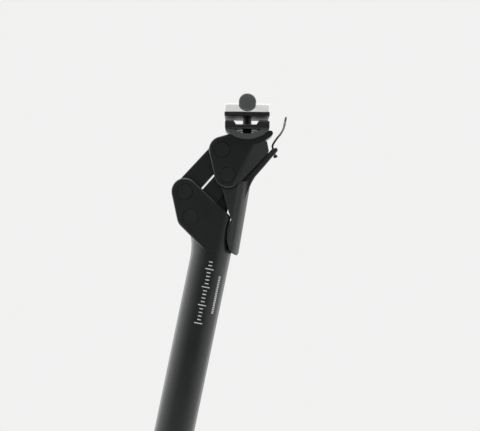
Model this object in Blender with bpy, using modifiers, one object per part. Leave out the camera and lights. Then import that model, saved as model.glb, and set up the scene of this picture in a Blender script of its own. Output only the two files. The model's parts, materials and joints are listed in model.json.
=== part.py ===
"""Parallelogram suspension seatpost, modelled for Blender 4.5.

Frame: +Z up along the tube's axis, +X to the rear of the bicycle, +Y to its right-hand side,
origin at the centre of the tube's lower end. Sizes below are in millimetres; Blender gets metres.
"""

import math

import bmesh
import bpy
from mathutils import Matrix, Vector

MM = 0.001
GAP = 0.3                     # clearance between pieces that touch

# Tube and knuckle
TUBE_RADIUS = 13.6
BORE_RADIUS = 11.8
TUBE_TOP = 275.5
BODY_HALF = 15.0              # half the width over the ears and over the head's cheeks
SLOT_HALF = 10.8              # half the gap between the ears, and between the cheeks

# Linkage: two equal links between two equal pivot pairs
POST_LOWER = Vector((-18.7, 278.0))
PAIR_SPACING = 17.4
PAIR_LEAN = math.radians(-24.1)
LINK_LENGTH = 38.1
LINK_LEAN = math.radians(30.0)
LINK_SWING = math.radians(50.0)
LINK_HALF = 10.4
EYE_RADIUS = 6.25
AXLE_RADIUS = 3.7
AXLE_HOLE = 4.0
CAP_RADIUS = 5.3
CAP_DEPTH = 1.2
BUSH_RADIUS = 5.1
BUSH_LENGTH = 5.0

# Bell crank arm, roller and the spring column in the tube
ARM_LENGTH = 19.7
ARM_HALF = 7.3
ROLLER_RADIUS = 6.0
ROLLER_HALF = 4.0
ROLLER_PIN_RADIUS = 2.4
PLUNGER_RADIUS = 11.4
PLUNGER_LENGTH = 26.0
SPRING_FOOT = 136.0
MAIN_COIL_RADIUS = 9.3
MAIN_WIRE = 3.2
INNER_COIL_RADIUS = 5.4
INNER_WIRE = 2.0
PLUG_TOP = 17.0

# Saddle clamp, in its own frame: origin at the rocker's centre, turned by CLAMP_TILT
ROCKER_CENTRE = Vector((4.4, 357.3))
CLAMP_TILT = math.radians(11.1)
ROCKER_RADIUS = 20.5
CRADLE_THICKNESS = 3.6
RAIL_RADIUS = 3.5
RAIL_OFFSET = 22.0
RAIL_DROP = -7.3
CLAMP_HALF = 15.0             # half its length along the rails
CLAMP_SIDE = 26.6             # half its width over the rail beds
BARREL_RADIUS = 5.9
BARREL_RISE = 4.1
BOLT_RADIUS = 3.0


def direction(lean):
    """Unit vector in the side plane that leans back from +Z by the given angle."""
    return Vector((math.sin(lean), math.cos(lean)))


BEHIND = Vector((math.cos(LINK_LEAN), -math.sin(LINK_LEAN)))    # square to the links, to the rear
POST_UPPER = POST_LOWER + PAIR_SPACING * direction(PAIR_LEAN)
HEAD_LOWER = POST_LOWER + LINK_LENGTH * direction(LINK_LEAN)
HEAD_UPPER = POST_UPPER + LINK_LENGTH * direction(LINK_LEAN)
ARM_ANGLE = LINK_SWING / 2
ROLLER_AT = POST_LOWER + ARM_LENGTH * Vector((math.cos(ARM_ANGLE), math.sin(ARM_ANGLE)))
ROLLER_DOWN = POST_LOWER + ARM_LENGTH * Vector((math.cos(ARM_ANGLE), -math.sin(ARM_ANGLE)))
PLUNGER_TOP = ROLLER_AT.y - ROLLER_RADIUS - 0.4
CRADLE_INNER = ROCKER_RADIUS + GAP
CRADLE_OUTER = CRADLE_INNER + CRADLE_THICKNESS


# ---------------------------------------------------------------- scene, materials, objects

def clear_scene():
    for item in list(bpy.data.objects):
        bpy.data.objects.remove(item, do_unlink=True)


def new_collection(name):
    made = bpy.data.collections.new(name)
    bpy.context.scene.collection.children.link(made)
    return made


def material(name, colour, roughness, metallic):
    made = bpy.data.materials.new(name)
    made.use_nodes = True
    shader = made.node_tree.nodes["Principled BSDF"]
    shader.inputs["Base Color"].default_value = (*colour, 1.0)
    shader.inputs["Roughness"].default_value = roughness
    shader.inputs["Metallic"].default_value = metallic
    made.diffuse_color = (*colour, 1.0)
    return made


clear_scene()
PARTS = new_collection("suspension_seatpost")
CUTTERS = new_collection("cutters")


def place(mesh, name, location, collection, angle=0.0):
    """Link a mesh as an object in the side plane: location is (x, y, z), angle tilts it about Y."""
    made = bpy.data.objects.new(name, mesh)
    made.location = Vector(location) * MM
    made.rotation_euler = (0.0, -angle, 0.0)
    collection.objects.link(made)
    return made


def as_part(made, name, finish, pivot=None):
    """Name a solid as one of the seatpost's pieces and give it its own material.

    A pivot (x, z) moves the piece's origin onto its joint's axis and leaves its shape in place.
    """
    if pivot is not None:
        target = Vector((pivot[0], 0.0, pivot[1])) * MM
        shift = made.rotation_euler.to_matrix().inverted() @ (target - made.location)
        made.data.transform(Matrix.Translation(-shift))
        made.location = target
    made.name = name
    made.data.name = name
    made.data.materials.clear()
    made.data.materials.append(material(name, *finish))
    made.data.shade_smooth()
    made.data.set_sharp_from_angle(angle=math.radians(32))
    for collection in list(made.users_collection):
        collection.objects.unlink(made)
    PARTS.objects.link(made)
    return made


def as_cutter(made):
    made.hide_render = True
    made.display_type = "WIRE"
    return made


def boolean(target, tool, operation="DIFFERENCE"):
    modifier = target.modifiers.new(tool.name, "BOOLEAN")
    modifier.object = as_cutter(tool)
    modifier.operation = operation
    modifier.solver = "EXACT"


def bevel(target, width, segments=2):
    modifier = target.modifiers.new("edge", "BEVEL")
    modifier.width = width * MM
    modifier.segments = segments
    modifier.limit_method = "ANGLE"
    modifier.angle_limit = math.radians(40)


# ---------------------------------------------------------------- outlines

def arc(centre, radius, start, end, count):
    """Points along an arc, angles in degrees."""
    points = []
    for step in range(count + 1):
        angle = math.radians(start + (end - start) * step / count)
        points.append((centre[0] + radius * math.cos(angle), centre[1] + radius * math.sin(angle)))
    return points


def wrap(*rounds, count=36):
    """The outline of a band stretched round discs (x, y, radius) and bare points (x, y)."""
    cloud = []
    for item in rounds:
        if len(item) == 3:
            cloud += arc(item[:2], item[2], 0, 360, count)[:-1]
        else:
            cloud.append(tuple(item))
    cloud = sorted(set((round(x, 5), round(y, 5)) for x, y in cloud))

    def half(points):
        chain = []
        for point in points:
            while len(chain) > 1 and cross(chain[-2], chain[-1], point) <= 1e-6:
                chain.pop()
            chain.append(point)
        return chain[:-1]

    return half(cloud) + half(reversed(cloud))


def cross(a, b, c):
    return (b[0] - a[0]) * (c[1] - a[1]) - (b[1] - a[1]) * (c[0] - a[0])


def disc(at, radius):
    return (at[0], at[1], radius)


# ---------------------------------------------------------------- solids

def flat_solid(outline, half_thickness):
    """A filled 2D curve with thickness, turned into a closed mesh about its own Z = 0 plane."""
    curve = bpy.data.curves.new("outline", "CURVE")
    curve.dimensions = "2D"
    curve.fill_mode = "BOTH"
    curve.extrude = half_thickness * MM
    spline = curve.splines.new("POLY")
    spline.points.add(len(outline) - 1)
    for point, (x, y) in zip(spline.points, outline):
        point.co = (x * MM, y * MM, 0.0, 1.0)
    spline.use_cyclic_u = True
    return curve_mesh(curve)


def curve_mesh(curve, merge_flat=True):
    """The evaluated mesh of a curve with its loose caps welded; the curve object is removed."""
    holder = bpy.data.objects.new("holder", curve)
    bpy.context.scene.collection.objects.link(holder)
    graph = bpy.context.evaluated_depsgraph_get()
    mesh = bpy.data.meshes.new_from_object(holder.evaluated_get(graph))
    bpy.data.objects.remove(holder, do_unlink=True)
    work = bmesh.new()
    work.from_mesh(mesh)
    bmesh.ops.remove_doubles(work, verts=work.verts, dist=0.00001)
    if merge_flat:
        bmesh.ops.dissolve_limit(work, angle_limit=math.radians(0.5), verts=work.verts,
                                 edges=work.edges)
    bmesh.ops.recalc_face_normals(work, faces=work.faces)
    work.to_mesh(mesh)
    work.free()
    return mesh


def side_plate(outline, half_width, at=(0.0, 0.0), y=0.0, angle=0.0, name="plate"):
    """An outline in the side plane (x back, z up), given thickness across the bicycle."""
    mesh = flat_solid(outline, half_width)
    mesh.transform(Matrix.Rotation(math.radians(90), 4, "X"))
    return place(mesh, name, (at[0], y, at[1]), CUTTERS, angle)


def plan_block(outline, low, high, name="block"):
    """An outline seen from above (x back, y right), standing from low to high."""
    mesh = flat_solid(outline, (high - low) / 2)
    return place(mesh, name, (0.0, 0.0, (low + high) / 2), CUTTERS)


def rod(radius, start, end, sides=20, name="rod"):
    """A cylinder between two points."""
    start, end = Vector(start), Vector(end)
    work = bmesh.new()
    bmesh.ops.create_cone(work, cap_ends=True, segments=sides, radius1=radius * MM,
                          radius2=radius * MM, depth=(end - start).length * MM)
    mesh = bpy.data.meshes.new(name)
    work.to_mesh(mesh)
    work.free()
    made = place(mesh, name, (start + end) / 2, CUTTERS)
    made.rotation_euler = (end - start).to_track_quat("Z", "Y").to_euler()
    return made


def turned(profile, at, axis="Z", sides=28, name="turned"):
    """Turn a closed profile of (radius, height) points about an axis through the given place."""
    mesh = bpy.data.meshes.new(name)
    work = bmesh.new()
    ring = [work.verts.new((radius * MM, 0.0, height * MM)) for radius, height in profile]
    edges = [work.edges.new((a, b)) for a, b in zip(ring, ring[1:] + ring[:1])]
    bmesh.ops.spin(work, geom=ring + edges, cent=(0, 0, 0), axis=(0, 0, 1), dvec=(0, 0, 0),
                   angle=math.tau, steps=sides, use_merge=True, use_duplicate=False)
    bmesh.ops.remove_doubles(work, verts=work.verts, dist=0.000005)
    along_axis = [edge for edge in work.edges if not edge.link_faces]
    bmesh.ops.delete(work, geom=along_axis, context="EDGES")
    bmesh.ops.recalc_face_normals(work, faces=work.faces)
    work.to_mesh(mesh)
    work.free()
    if axis == "Y":
        mesh.transform(Matrix.Rotation(math.radians(-90), 4, "X"))
    return place(mesh, name, at, CUTTERS)


def wire(points, radius, name):
    """A round wire along points, with filled ends."""
    curve = bpy.data.curves.new(name, "CURVE")
    curve.dimensions = "3D"
    curve.bevel_depth = radius * MM
    curve.bevel_resolution = 2
    curve.use_fill_caps = True
    spline = curve.splines.new("POLY")
    spline.points.add(len(points) - 1)
    for point, place_at in zip(spline.points, points):
        point.co = (*(Vector(place_at) * MM), 1.0)
    return place(curve_mesh(curve, merge_flat=False), name, (0.0, 0.0, 0.0), CUTTERS)


def smooth_path(points, steps=6):
    """A Catmull-Rom curve through the given points."""
    knots = [Vector(p) for p in points]
    knots = [2 * knots[0] - knots[1]] + knots + [2 * knots[-1] - knots[-2]]
    path = []
    for a, b, c, d in zip(knots, knots[1:], knots[2:], knots[3:]):
        for step in range(steps):
            t = step / steps
            path.append(0.5 * (2 * b + (c - a) * t + (2 * a - 5 * b + 4 * c - d) * t ** 2
                               + (3 * b - a - 3 * c + d) * t ** 3))
    return path + [knots[-2]]


# ---------------------------------------------------------------- finishes

BLACK_ANODISED = ((0.016, 0.017, 0.017), 0.38, 0.55)
BLACK_SATIN = ((0.012, 0.013, 0.013), 0.45, 0.3)
BLACK_STEEL = ((0.02, 0.02, 0.021), 0.35, 0.8)
BRIGHT_STEEL = ((0.55, 0.55, 0.56), 0.25, 1.0)
POLISHED = ((0.80, 0.80, 0.78), 0.18, 1.0)
SPRING_STEEL = ((0.32, 0.33, 0.34), 0.3, 1.0)
BRONZE = ((0.42, 0.28, 0.12), 0.4, 1.0)
RUBBER = ((0.035, 0.038, 0.038), 0.7, 0.0)
PLASTIC = ((0.05, 0.05, 0.05), 0.5, 0.0)


# ---------------------------------------------------------------- post

def pivot_cuts(target, pivots):
    """Axle bores and the shallow seats of the axle caps, through both cheeks."""
    reach = BODY_HALF + 2
    for at in pivots:
        boolean(target, rod(AXLE_HOLE, (at[0], -reach, at[1]), (at[0], reach, at[1]), name="axle_bore"))
        for side in (-1, 1):
            seat = BODY_HALF - CAP_DEPTH - GAP
            boolean(target, rod(CAP_RADIUS + GAP, (at[0], side * seat, at[1]),
                                (at[0], side * reach, at[1]), name="cap_seat"))


def make_post_body():
    """The tube, and the knuckle whose two ears draw in to the tube's round from their flat front."""
    ears = side_plate(wrap(disc(POST_UPPER, 9.2), disc(POST_LOWER, 9.3), (1.1, 277.1, 9.1),
                           (4.4, 270.5, 9.1), (2.0, 256.0), (-3.0, 256.5)), BODY_HALF, name="ears")
    bevel(ears, 1.0)
    flat_end, reach = -13.0, BODY_HALF + 1
    flare = plan_block(wrap((0.0, 0.0, TUBE_RADIUS - 0.01), (flat_end, reach), (-40.0, reach),
                            (flat_end, -reach), (-40.0, -reach)), 240, 320, name="flare")
    boolean(ears, flare, "INTERSECT")
    boolean(ears, rod(TUBE_RADIUS, (0, 0, 0), (0, 0, TUBE_TOP), sides=64, name="tube"), "UNION")
    boolean(ears, rod(BORE_RADIUS, (0, 0, -5), (0, 0, 320), sides=48, name="bore"))
    slot = side_plate(wrap(disc(POST_LOWER, 8.7), (-45.0, 278.0), (-45.0, 330.0), (25.0, 330.0),
                           (25.0, TUBE_TOP - 0.4)), SLOT_HALF, name="link_slot")
    boolean(ears, slot)
    arm_slot = side_plate(wrap((-14.0, 273.2, 7.8), disc(ROLLER_DOWN, 7.1), disc(ROLLER_AT, 8.0),
                               (14.2, 270.2), (14.2, 277.0)), ARM_HALF + 0.5, name="arm_slot")
    boolean(ears, arm_slot)
    pivot_cuts(ears, (POST_LOWER, POST_UPPER))
    return as_part(ears, "post_body", BLACK_ANODISED)


# ---------------------------------------------------------------- links and their bearings

def eye_cuts(link, eyes):
    """The eyes' bores: a wide seat for a bush at each side, and a narrower middle."""
    reach = LINK_HALF + 2
    for at in eyes:
        boolean(link, rod(AXLE_HOLE + 0.6, (at[0], -reach, at[1]), (at[0], reach, at[1]), name="eye"))
        for side in (-1, 1):
            boolean(link, rod(BUSH_RADIUS + GAP, (at[0], side * (LINK_HALF - BUSH_LENGTH - GAP), at[1]),
                              (at[0], side * reach, at[1]), name="bush_seat"))


def make_upper_link():
    head_eye = HEAD_UPPER - POST_UPPER
    link = side_plate(wrap((0.0, 0.0, EYE_RADIUS), disc(-2.1 * BEHIND, EYE_RADIUS),
                           disc(head_eye, EYE_RADIUS), disc(head_eye - 1.2 * BEHIND, EYE_RADIUS)),
                      LINK_HALF, at=POST_UPPER, name="upper")
    bevel(link, 0.6, segments=1)
    eye_cuts(link, (POST_UPPER, HEAD_UPPER))
    return as_part(link, "upper_link", BLACK_ANODISED)


def make_lower_link():
    """The bell crank: a wide link between the pivots, and a forked arm for the roller."""
    head_eye = HEAD_LOWER - POST_LOWER
    roller_eye = ROLLER_AT - POST_LOWER
    link = side_plate(wrap((0.0, 0.0, EYE_RADIUS), disc(head_eye, EYE_RADIUS),
                           disc(head_eye + 1.2 * BEHIND, EYE_RADIUS)),
                      LINK_HALF, at=POST_LOWER, name="lower")
    bevel(link, 0.6, segments=1)
    arm = side_plate(wrap((0.0, 0.0, EYE_RADIUS), disc(0.85 * head_eye, EYE_RADIUS), disc(roller_eye, 5.6),
                           disc(roller_eye + Vector((0.8, 3.0)), 5.2)), ARM_HALF,
                     at=POST_LOWER, name="arm")
    boolean(link, arm, "UNION")
    fork = side_plate(wrap((*ROLLER_AT, ROLLER_RADIUS + 0.9), (ROLLER_AT.x + 12, ROLLER_AT.y + 4),
                           (ROLLER_AT.x + 12, ROLLER_AT.y - 14), (ROLLER_AT.x - 3, ROLLER_AT.y - 14)),
                      ROLLER_HALF + GAP, name="fork")
    boolean(link, fork)
    boolean(link, rod(ROLLER_PIN_RADIUS + 0.25, (ROLLER_AT.x, -20, ROLLER_AT.y),
                      (ROLLER_AT.x, 20, ROLLER_AT.y), sides=24, name="pin_hole"))
    eye_cuts(link, (POST_LOWER, HEAD_LOWER))
    return as_part(link, "lower_link", BLACK_ANODISED)


def make_bushes():
    """Two plain bushes in each eye, numbered from the post's lower pivot upwards."""
    number = 0
    for at in (POST_LOWER, POST_UPPER, HEAD_LOWER, HEAD_UPPER):
        for side in (-1, 1):
            number += 1
            middle = side * (LINK_HALF - BUSH_LENGTH / 2)
            half = BUSH_LENGTH / 2
            ring = turned([(AXLE_HOLE, -half), (BUSH_RADIUS, -half), (BUSH_RADIUS, half),
                           (AXLE_HOLE, half)], (at[0], middle, at[1]), axis="Y", sides=20)
            as_part(ring, f"link_bush_{number}", BRONZE)


def make_axles():
    """An axle with a flat round cap on the left, closed by a screw with the same cap on the right."""
    pivots = (POST_LOWER, POST_UPPER, HEAD_LOWER, HEAD_UPPER)
    shaft = BODY_HALF - CAP_DEPTH
    for number, at in enumerate(pivots, start=1):
        axle = turned([(0.0, -BODY_HALF), (CAP_RADIUS - 0.3, -BODY_HALF), (CAP_RADIUS, -BODY_HALF + 0.3),
                       (CAP_RADIUS, -shaft), (AXLE_RADIUS, -shaft), (AXLE_RADIUS, shaft - 0.4),
                       (2.4, shaft - 0.4), (2.4, 5.0), (0.0, 5.0)],
                      (at[0], 0.0, at[1]), axis="Y", sides=24)
        as_part(axle, f"pivot_axle_{number}", BLACK_SATIN)
        screw = turned([(0.0, 6.0), (2.1, 6.0), (2.1, shaft), (CAP_RADIUS, shaft),
                        (CAP_RADIUS, BODY_HALF - 0.3), (CAP_RADIUS - 0.3, BODY_HALF),
                        (1.8, BODY_HALF), (1.8, shaft - 0.6), (0.0, shaft - 0.6)],
                       (at[0], 0.0, at[1]), axis="Y", sides=20)
        as_part(screw, f"axle_screw_{number}", BLACK_SATIN)


def make_roller():
    groove = ROLLER_RADIUS - 0.5
    roller = turned([(ROLLER_PIN_RADIUS + 0.3, -ROLLER_HALF), (groove, -ROLLER_HALF),
                     (ROLLER_RADIUS, -ROLLER_HALF + 0.5), (ROLLER_RADIUS, ROLLER_HALF - 0.5),
                     (groove, ROLLER_HALF), (ROLLER_PIN_RADIUS + 0.3, ROLLER_HALF)],
                    (ROLLER_AT.x, 0.0, ROLLER_AT.y), axis="Y", sides=24)
    as_part(roller, "roller", BRIGHT_STEEL)
    pin = rod(ROLLER_PIN_RADIUS, (ROLLER_AT.x, -ARM_HALF + 0.3, ROLLER_AT.y),
              (ROLLER_AT.x, ARM_HALF - 0.3, ROLLER_AT.y), sides=24)
    as_part(pin, "roller_pin", BLACK_STEEL)


# ---------------------------------------------------------------- spring column

def make_plunger():
    """A slider with a boss for the roller between the arm's forks, and a stem inside the springs."""
    shoulder, boss, stem = PLUNGER_LENGTH, 4.0, 3.0
    profile = [(0.0, 0.0), (boss, 0.0), (boss, -6.0), (PLUNGER_RADIUS - 0.8, -6.0),
               (PLUNGER_RADIUS, -6.8), (PLUNGER_RADIUS, -shoulder), (stem, -shoulder),
               (stem, -shoulder - 40.0), (0.0, -shoulder - 40.5)]
    made = turned(profile[::-1], (0.0, 0.0, PLUNGER_TOP), sides=32)
    as_part(made, "plunger", BRIGHT_STEEL)
    return PLUNGER_TOP - shoulder


def coil(radius, wire_diameter, low, high, turns, name):
    """A compression spring whose end turns lie flat."""
    per_turn = 9
    count = turns * per_turn
    points = []
    for step in range(count + 1):
        share = step / count
        eased = min(max((share * turns - 0.7) / (turns - 1.4), 0.0), 1.0)
        height = low + wire_diameter / 2 + eased * (high - low - wire_diameter)
        angle = math.tau * step / per_turn
        points.append((radius * math.cos(angle), radius * math.sin(angle), height))
    made = wire(points, wire_diameter / 2, name)
    return as_part(made, name, SPRING_STEEL)


def make_springs(spring_top):
    coil(MAIN_COIL_RADIUS, MAIN_WIRE, SPRING_FOOT + GAP, spring_top - GAP, 8, "main_spring")
    coil(INNER_COIL_RADIUS, INNER_WIRE, SPRING_FOOT + GAP, spring_top - GAP, 9, "inner_spring")


def make_spring_seat():
    """The long sleeve below the springs, with a flange, and the rubber stop that stands in it."""
    flange, sleeve, inside = 11.2, 9.0, 7.2
    foot = PLUG_TOP + 2.5
    profile = [(2.0, foot), (flange, foot), (flange, foot + 3.0), (sleeve, foot + 3.0),
               (sleeve, SPRING_FOOT - 4.0), (flange, SPRING_FOOT - 4.0), (flange, SPRING_FOOT),
               (3.3, SPRING_FOOT), (3.3, SPRING_FOOT - 3.0), (inside, SPRING_FOOT - 5.0),
               (inside, foot + 3.0), (2.0, foot + 3.0)]
    as_part(turned(profile, (0.0, 0.0, 0.0), sides=24), "spring_seat", PLASTIC)
    stop = [(0.0, SPRING_FOOT - 3.0), (3.0, SPRING_FOOT - 3.0), (3.0, SPRING_FOOT + 50.0),
            (2.2, SPRING_FOOT + 54.0), (0.0, SPRING_FOOT + 55.0)]
    as_part(turned(stop, (0.0, 0.0, 0.0), sides=20), "bump_stop", RUBBER)


def make_preload_plug():
    """The plug in the tube's lower end: a hex socket below, a groove and its ring above."""
    groove_low, groove_high, groove_radius = 12.0, 14.6, 9.8
    outer = BORE_RADIUS - GAP
    profile = [(0.0, PLUG_TOP + 2.0), (outer - 1.0, PLUG_TOP + 2.0), (outer, PLUG_TOP + 1.0),
               (outer, groove_high), (groove_radius, groove_high), (groove_radius, groove_low),
               (outer, groove_low), (outer, 2.0), (outer - 1.0, 1.0), (0.0, 1.0)]
    plug = turned(profile, (0.0, 0.0, 0.0), sides=36)
    boolean(plug, rod(4.6, (0, 0, -3), (0, 0, 11.0), sides=6, name="hex_socket"))
    as_part(plug, "preload_plug", BLACK_ANODISED)
    middle = (groove_low + groove_high) / 2
    section = arc((groove_radius + 1.15, middle), 0.75, 0, 360, 6)[:-1]
    as_part(turned(section, (0.0, 0.0, 0.0), sides=32), "plug_oring", RUBBER)


# ---------------------------------------------------------------- head

def make_head():
    """Two cheeks joined by the curved cradle, a front web and the narrowing rear wall."""
    cheeks = side_plate(wrap(disc(HEAD_UPPER, 9.1), disc(HEAD_LOWER, 9.1), strip_point(1.2),
                             (21.4, 332.4, 2.9), (21.9, 339.0), (-2.6, 339.2)), BODY_HALF, name="cheeks")
    bevel(cheeks, 1.1)
    flat_end, rear_end = 5.0, 24.4
    rear = []
    for step in range(15):
        turn = math.pi * (step / 14 - 0.5)
        x = flat_end + (rear_end - flat_end) * abs(math.cos(turn)) ** 0.8
        y = BODY_HALF * math.copysign(abs(math.sin(turn)) ** 0.8, math.sin(turn))
        rear.append((x, y))
    plan = [(-30.0, -BODY_HALF - 1), (flat_end - 1, -BODY_HALF - 1)] + rear
    plan += [(flat_end - 1, BODY_HALF + 1), (-30.0, BODY_HALF + 1)]
    boolean(cheeks, plan_block(plan, 290, 350, name="taper"), "INTERSECT")
    boolean(cheeks, make_cradle_band(), "UNION")
    reach = BODY_HALF + 3
    boolean(cheeks, rod(CRADLE_INNER, (ROCKER_CENTRE.x, -reach, ROCKER_CENTRE.y),
                        (ROCKER_CENTRE.x, reach, ROCKER_CENTRE.y), sides=96, name="rocker_seat"))
    for cutter in head_hollows():
        boolean(cheeks, cutter)
    slot_middle = CRADLE_INNER + CRADLE_THICKNESS / 2
    slot_at = clamp_point(0.0, -slot_middle)
    slot = side_plate([(-7.6, -4.5), (7.2, -4.5), (7.2, 4.5), (-7.6, 4.5)], 3.6, at=slot_at,
                      angle=CLAMP_TILT, name="bolt_slot")
    boolean(cheeks, slot)
    boolean(cheeks, magnet_pocket(-0.3, 2.4, 2.9))
    pivot_cuts(cheeks, (HEAD_LOWER, HEAD_UPPER))
    return as_part(cheeks, "head", BLACK_ANODISED, pivot=HEAD_UPPER)


def make_cradle_band():
    """A band concentric with the rocker, ending in a rounded lip at the rear."""
    lip_angle = -34.5
    middle = (CRADLE_INNER + CRADLE_OUTER) / 2
    lip = Vector(arc(ROCKER_CENTRE, middle, lip_angle, lip_angle, 1)[0])
    outline = arc(ROCKER_CENTRE, CRADLE_OUTER, -112, lip_angle, 22)
    outline += arc(lip, CRADLE_THICKNESS / 2, lip_angle, lip_angle + 180, 6)[1:-1]
    outline += arc(ROCKER_CENTRE, CRADLE_INNER - 1.0, lip_angle, -112, 22)
    return side_plate(outline, BODY_HALF + 0.05, name="band")


def head_hollows():
    """The room between the cheeks for the links, and behind it the room for the clamp bolt's head."""
    top = CRADLE_OUTER
    link_room = side_plate(wrap(disc(HEAD_UPPER, 7.9), (-45.0, 328.6), (-45.0, 290.0), (10.0, 290.0),
                                (10.0, 334.0)), SLOT_HALF, name="link_room")
    bolt_room = side_plate([(-4.0, 312.0), (20.6, 312.0), (20.6, 345.0), (-4.0, 345.0)], 7.6,
                           name="bolt_room")
    keep = rod(top, (ROCKER_CENTRE.x, -40, ROCKER_CENTRE.y), (ROCKER_CENTRE.x, 40, ROCKER_CENTRE.y),
               sides=96, name="keep")
    for room in (link_room, bolt_room):
        boolean(room, keep)
    return link_room, bolt_room


def strip_point(along, off=0.0):
    """A point on the head's slanted underside, where the fender's strip lies; off is outwards."""
    foot, slope = Vector((9.8, 307.6)), Vector((0.527, 0.850))
    return foot + along * slope + off * Vector((slope.y, -slope.x))


def magnet_pocket(off_low, off_high, radius):
    """A round pocket on the underside's normal, between two distances inside the head."""
    outer, inner = strip_point(23.0, -off_low), strip_point(23.0, -off_high)
    return rod(radius, (outer.x, 0, outer.y), (inner.x, 0, inner.y), sides=24, name="pocket")


# ---------------------------------------------------------------- saddle clamp

def clamp_point(along, up):
    """The side-plane place of a point in the clamp's own frame."""
    cos, sin = math.cos(CLAMP_TILT), math.sin(CLAMP_TILT)
    return ROCKER_CENTRE + Vector((along * cos - up * sin, along * sin + up * cos))


def clamp_plate(outline, half_width, y=0.0, name="clamp"):
    return side_plate(outline, half_width, at=ROCKER_CENTRE, y=y, angle=CLAMP_TILT, name=name)


def clamp_rod(radius, low, high, along=0.0, sides=32, name="hole"):
    """A rod along the clamp's own upright axis."""
    a, b = clamp_point(along, low), clamp_point(along, high)
    return rod(radius, (a.x, 0, a.y), (b.x, 0, b.y), sides=sides, name=name)


def cross_rod(radius, along, up, half, y=0.0, sides=48, name="cross"):
    at = clamp_point(along, up)
    return rod(radius, (at.x, y - half, at.y), (at.x, y + half, at.y), sides=sides, name=name)


def rail_rod(side, radius, name="rail_room"):
    a, b = clamp_point(-25.0, RAIL_DROP), clamp_point(25.0, RAIL_DROP)
    y = side * RAIL_OFFSET
    return rod(radius, (a.x, y, a.y), (b.x, y, b.y), sides=36, name=name)


def make_lower_clamp():
    """The half-moon rocker below, and above it the two rail beds on a cross plate."""
    bed_low, bed_high, lip_high = -13.7, -10.9, -8.7
    start = math.degrees(math.acos(CLAMP_HALF / ROCKER_RADIUS)) + 0.5
    moon = arc((0, 0), ROCKER_RADIUS, 180 + start, 360 - start, 40) + [(CLAMP_HALF, bed_high + 1.0),
                                                                     (-CLAMP_HALF, bed_high + 1.0)]
    clamp = clamp_plate(moon, BODY_HALF - 0.4, name="moon")
    beds = clamp_plate([(-CLAMP_HALF, bed_low), (CLAMP_HALF, bed_low), (CLAMP_HALF, lip_high),
                        (7.6, lip_high), (6.2, lip_high - 2.4), (-7.6, lip_high - 2.4),
                        (-9.0, lip_high), (-CLAMP_HALF, lip_high)], CLAMP_SIDE, name="beds")
    bevel(beds, 0.4)
    boolean(clamp, beds, "UNION")
    between = RAIL_OFFSET - RAIL_RADIUS - 1.6
    middle = clamp_plate([(-20, bed_high + 1.2), (20, bed_high + 1.2), (20, 0), (-20, 0)], between,
                         name="between_rails")
    boolean(clamp, middle)
    for side in (-1, 1):
        boolean(clamp, rail_rod(side, RAIL_RADIUS + 0.15))
    window_top = -13.2
    inner = ROCKER_RADIUS - 4.0
    edge = math.degrees(math.asin(-window_top / inner))
    window = clamp_plate(arc((0, 0), inner, 180 + edge, 360 - edge, 20), BODY_HALF + 3, name="window")
    boolean(clamp, window)
    boolean(clamp, clamp_rod(BOLT_RADIUS + 0.35, -26, 4, name="bolt_hole"))
    return as_part(clamp, "lower_clamp", BLACK_SATIN)


def make_upper_clamp():
    """The polished top plate: the barrel nut's notch above, the rail beds below."""
    low, step, high = -5.1, -2.75, 2.6
    outline = [(-CLAMP_HALF - 0.4, low), (CLAMP_HALF, low), (CLAMP_HALF, step), (CLAMP_HALF - 0.4, step + 0.2),
               (CLAMP_HALF - 0.4, high), (-CLAMP_HALF, high), (-CLAMP_HALF, step + 0.2),
               (-CLAMP_HALF - 0.4, step)]
    clamp = clamp_plate(outline, CLAMP_SIDE, name="plate")
    bevel(clamp, 0.4)
    boolean(clamp, cross_rod(6.5, 0, BARREL_RISE, CLAMP_SIDE + 3, name="notch"))
    for side in (-1, 1):
        boolean(clamp, rail_rod(side, RAIL_RADIUS + 0.15))
    boolean(clamp, clamp_rod(BOLT_RADIUS + 0.35, -12, 6, name="bolt_hole"))
    return as_part(clamp, "upper_clamp", POLISHED)


def make_clamp_hardware():
    barrel = cross_rod(BARREL_RADIUS, 0, BARREL_RISE, CLAMP_SIDE - 1.6, sides=40)
    bevel(barrel, 0.6)
    boolean(barrel, clamp_rod(BOLT_RADIUS + 0.3, -6, 20, name="thread"))
    as_part(barrel, "barrel_nut", BLACK_STEEL)

    seat, head_low = -27.6, -33.2
    shank = clamp_rod(BOLT_RADIUS, seat - 1.0, 8.6, sides=28, name="shank")
    head = clamp_rod(5.0, head_low, seat, sides=32, name="bolt_head")
    bevel(head, 0.5)
    boolean(shank, head, "UNION")
    boolean(shank, clamp_rod(2.9, head_low - 2, head_low + 3.2, sides=6, name="hex"))
    as_part(shank, "clamp_bolt", BLACK_STEEL)

    washer = clamp_plate([(-5.2, seat + GAP), (5.2, seat + GAP), (5.2, -20), (-5.2, -20)], 6.4,
                         name="washer")
    boolean(washer, cross_rod(CRADLE_OUTER + GAP, 0, 0, 12, sides=96, name="washer_top"))
    boolean(washer, clamp_rod(BOLT_RADIUS + 0.35, -32, -18, name="washer_hole"))
    as_part(washer, "bolt_washer", BRIGHT_STEEL)


# ---------------------------------------------------------------- fender and its hook

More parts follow.
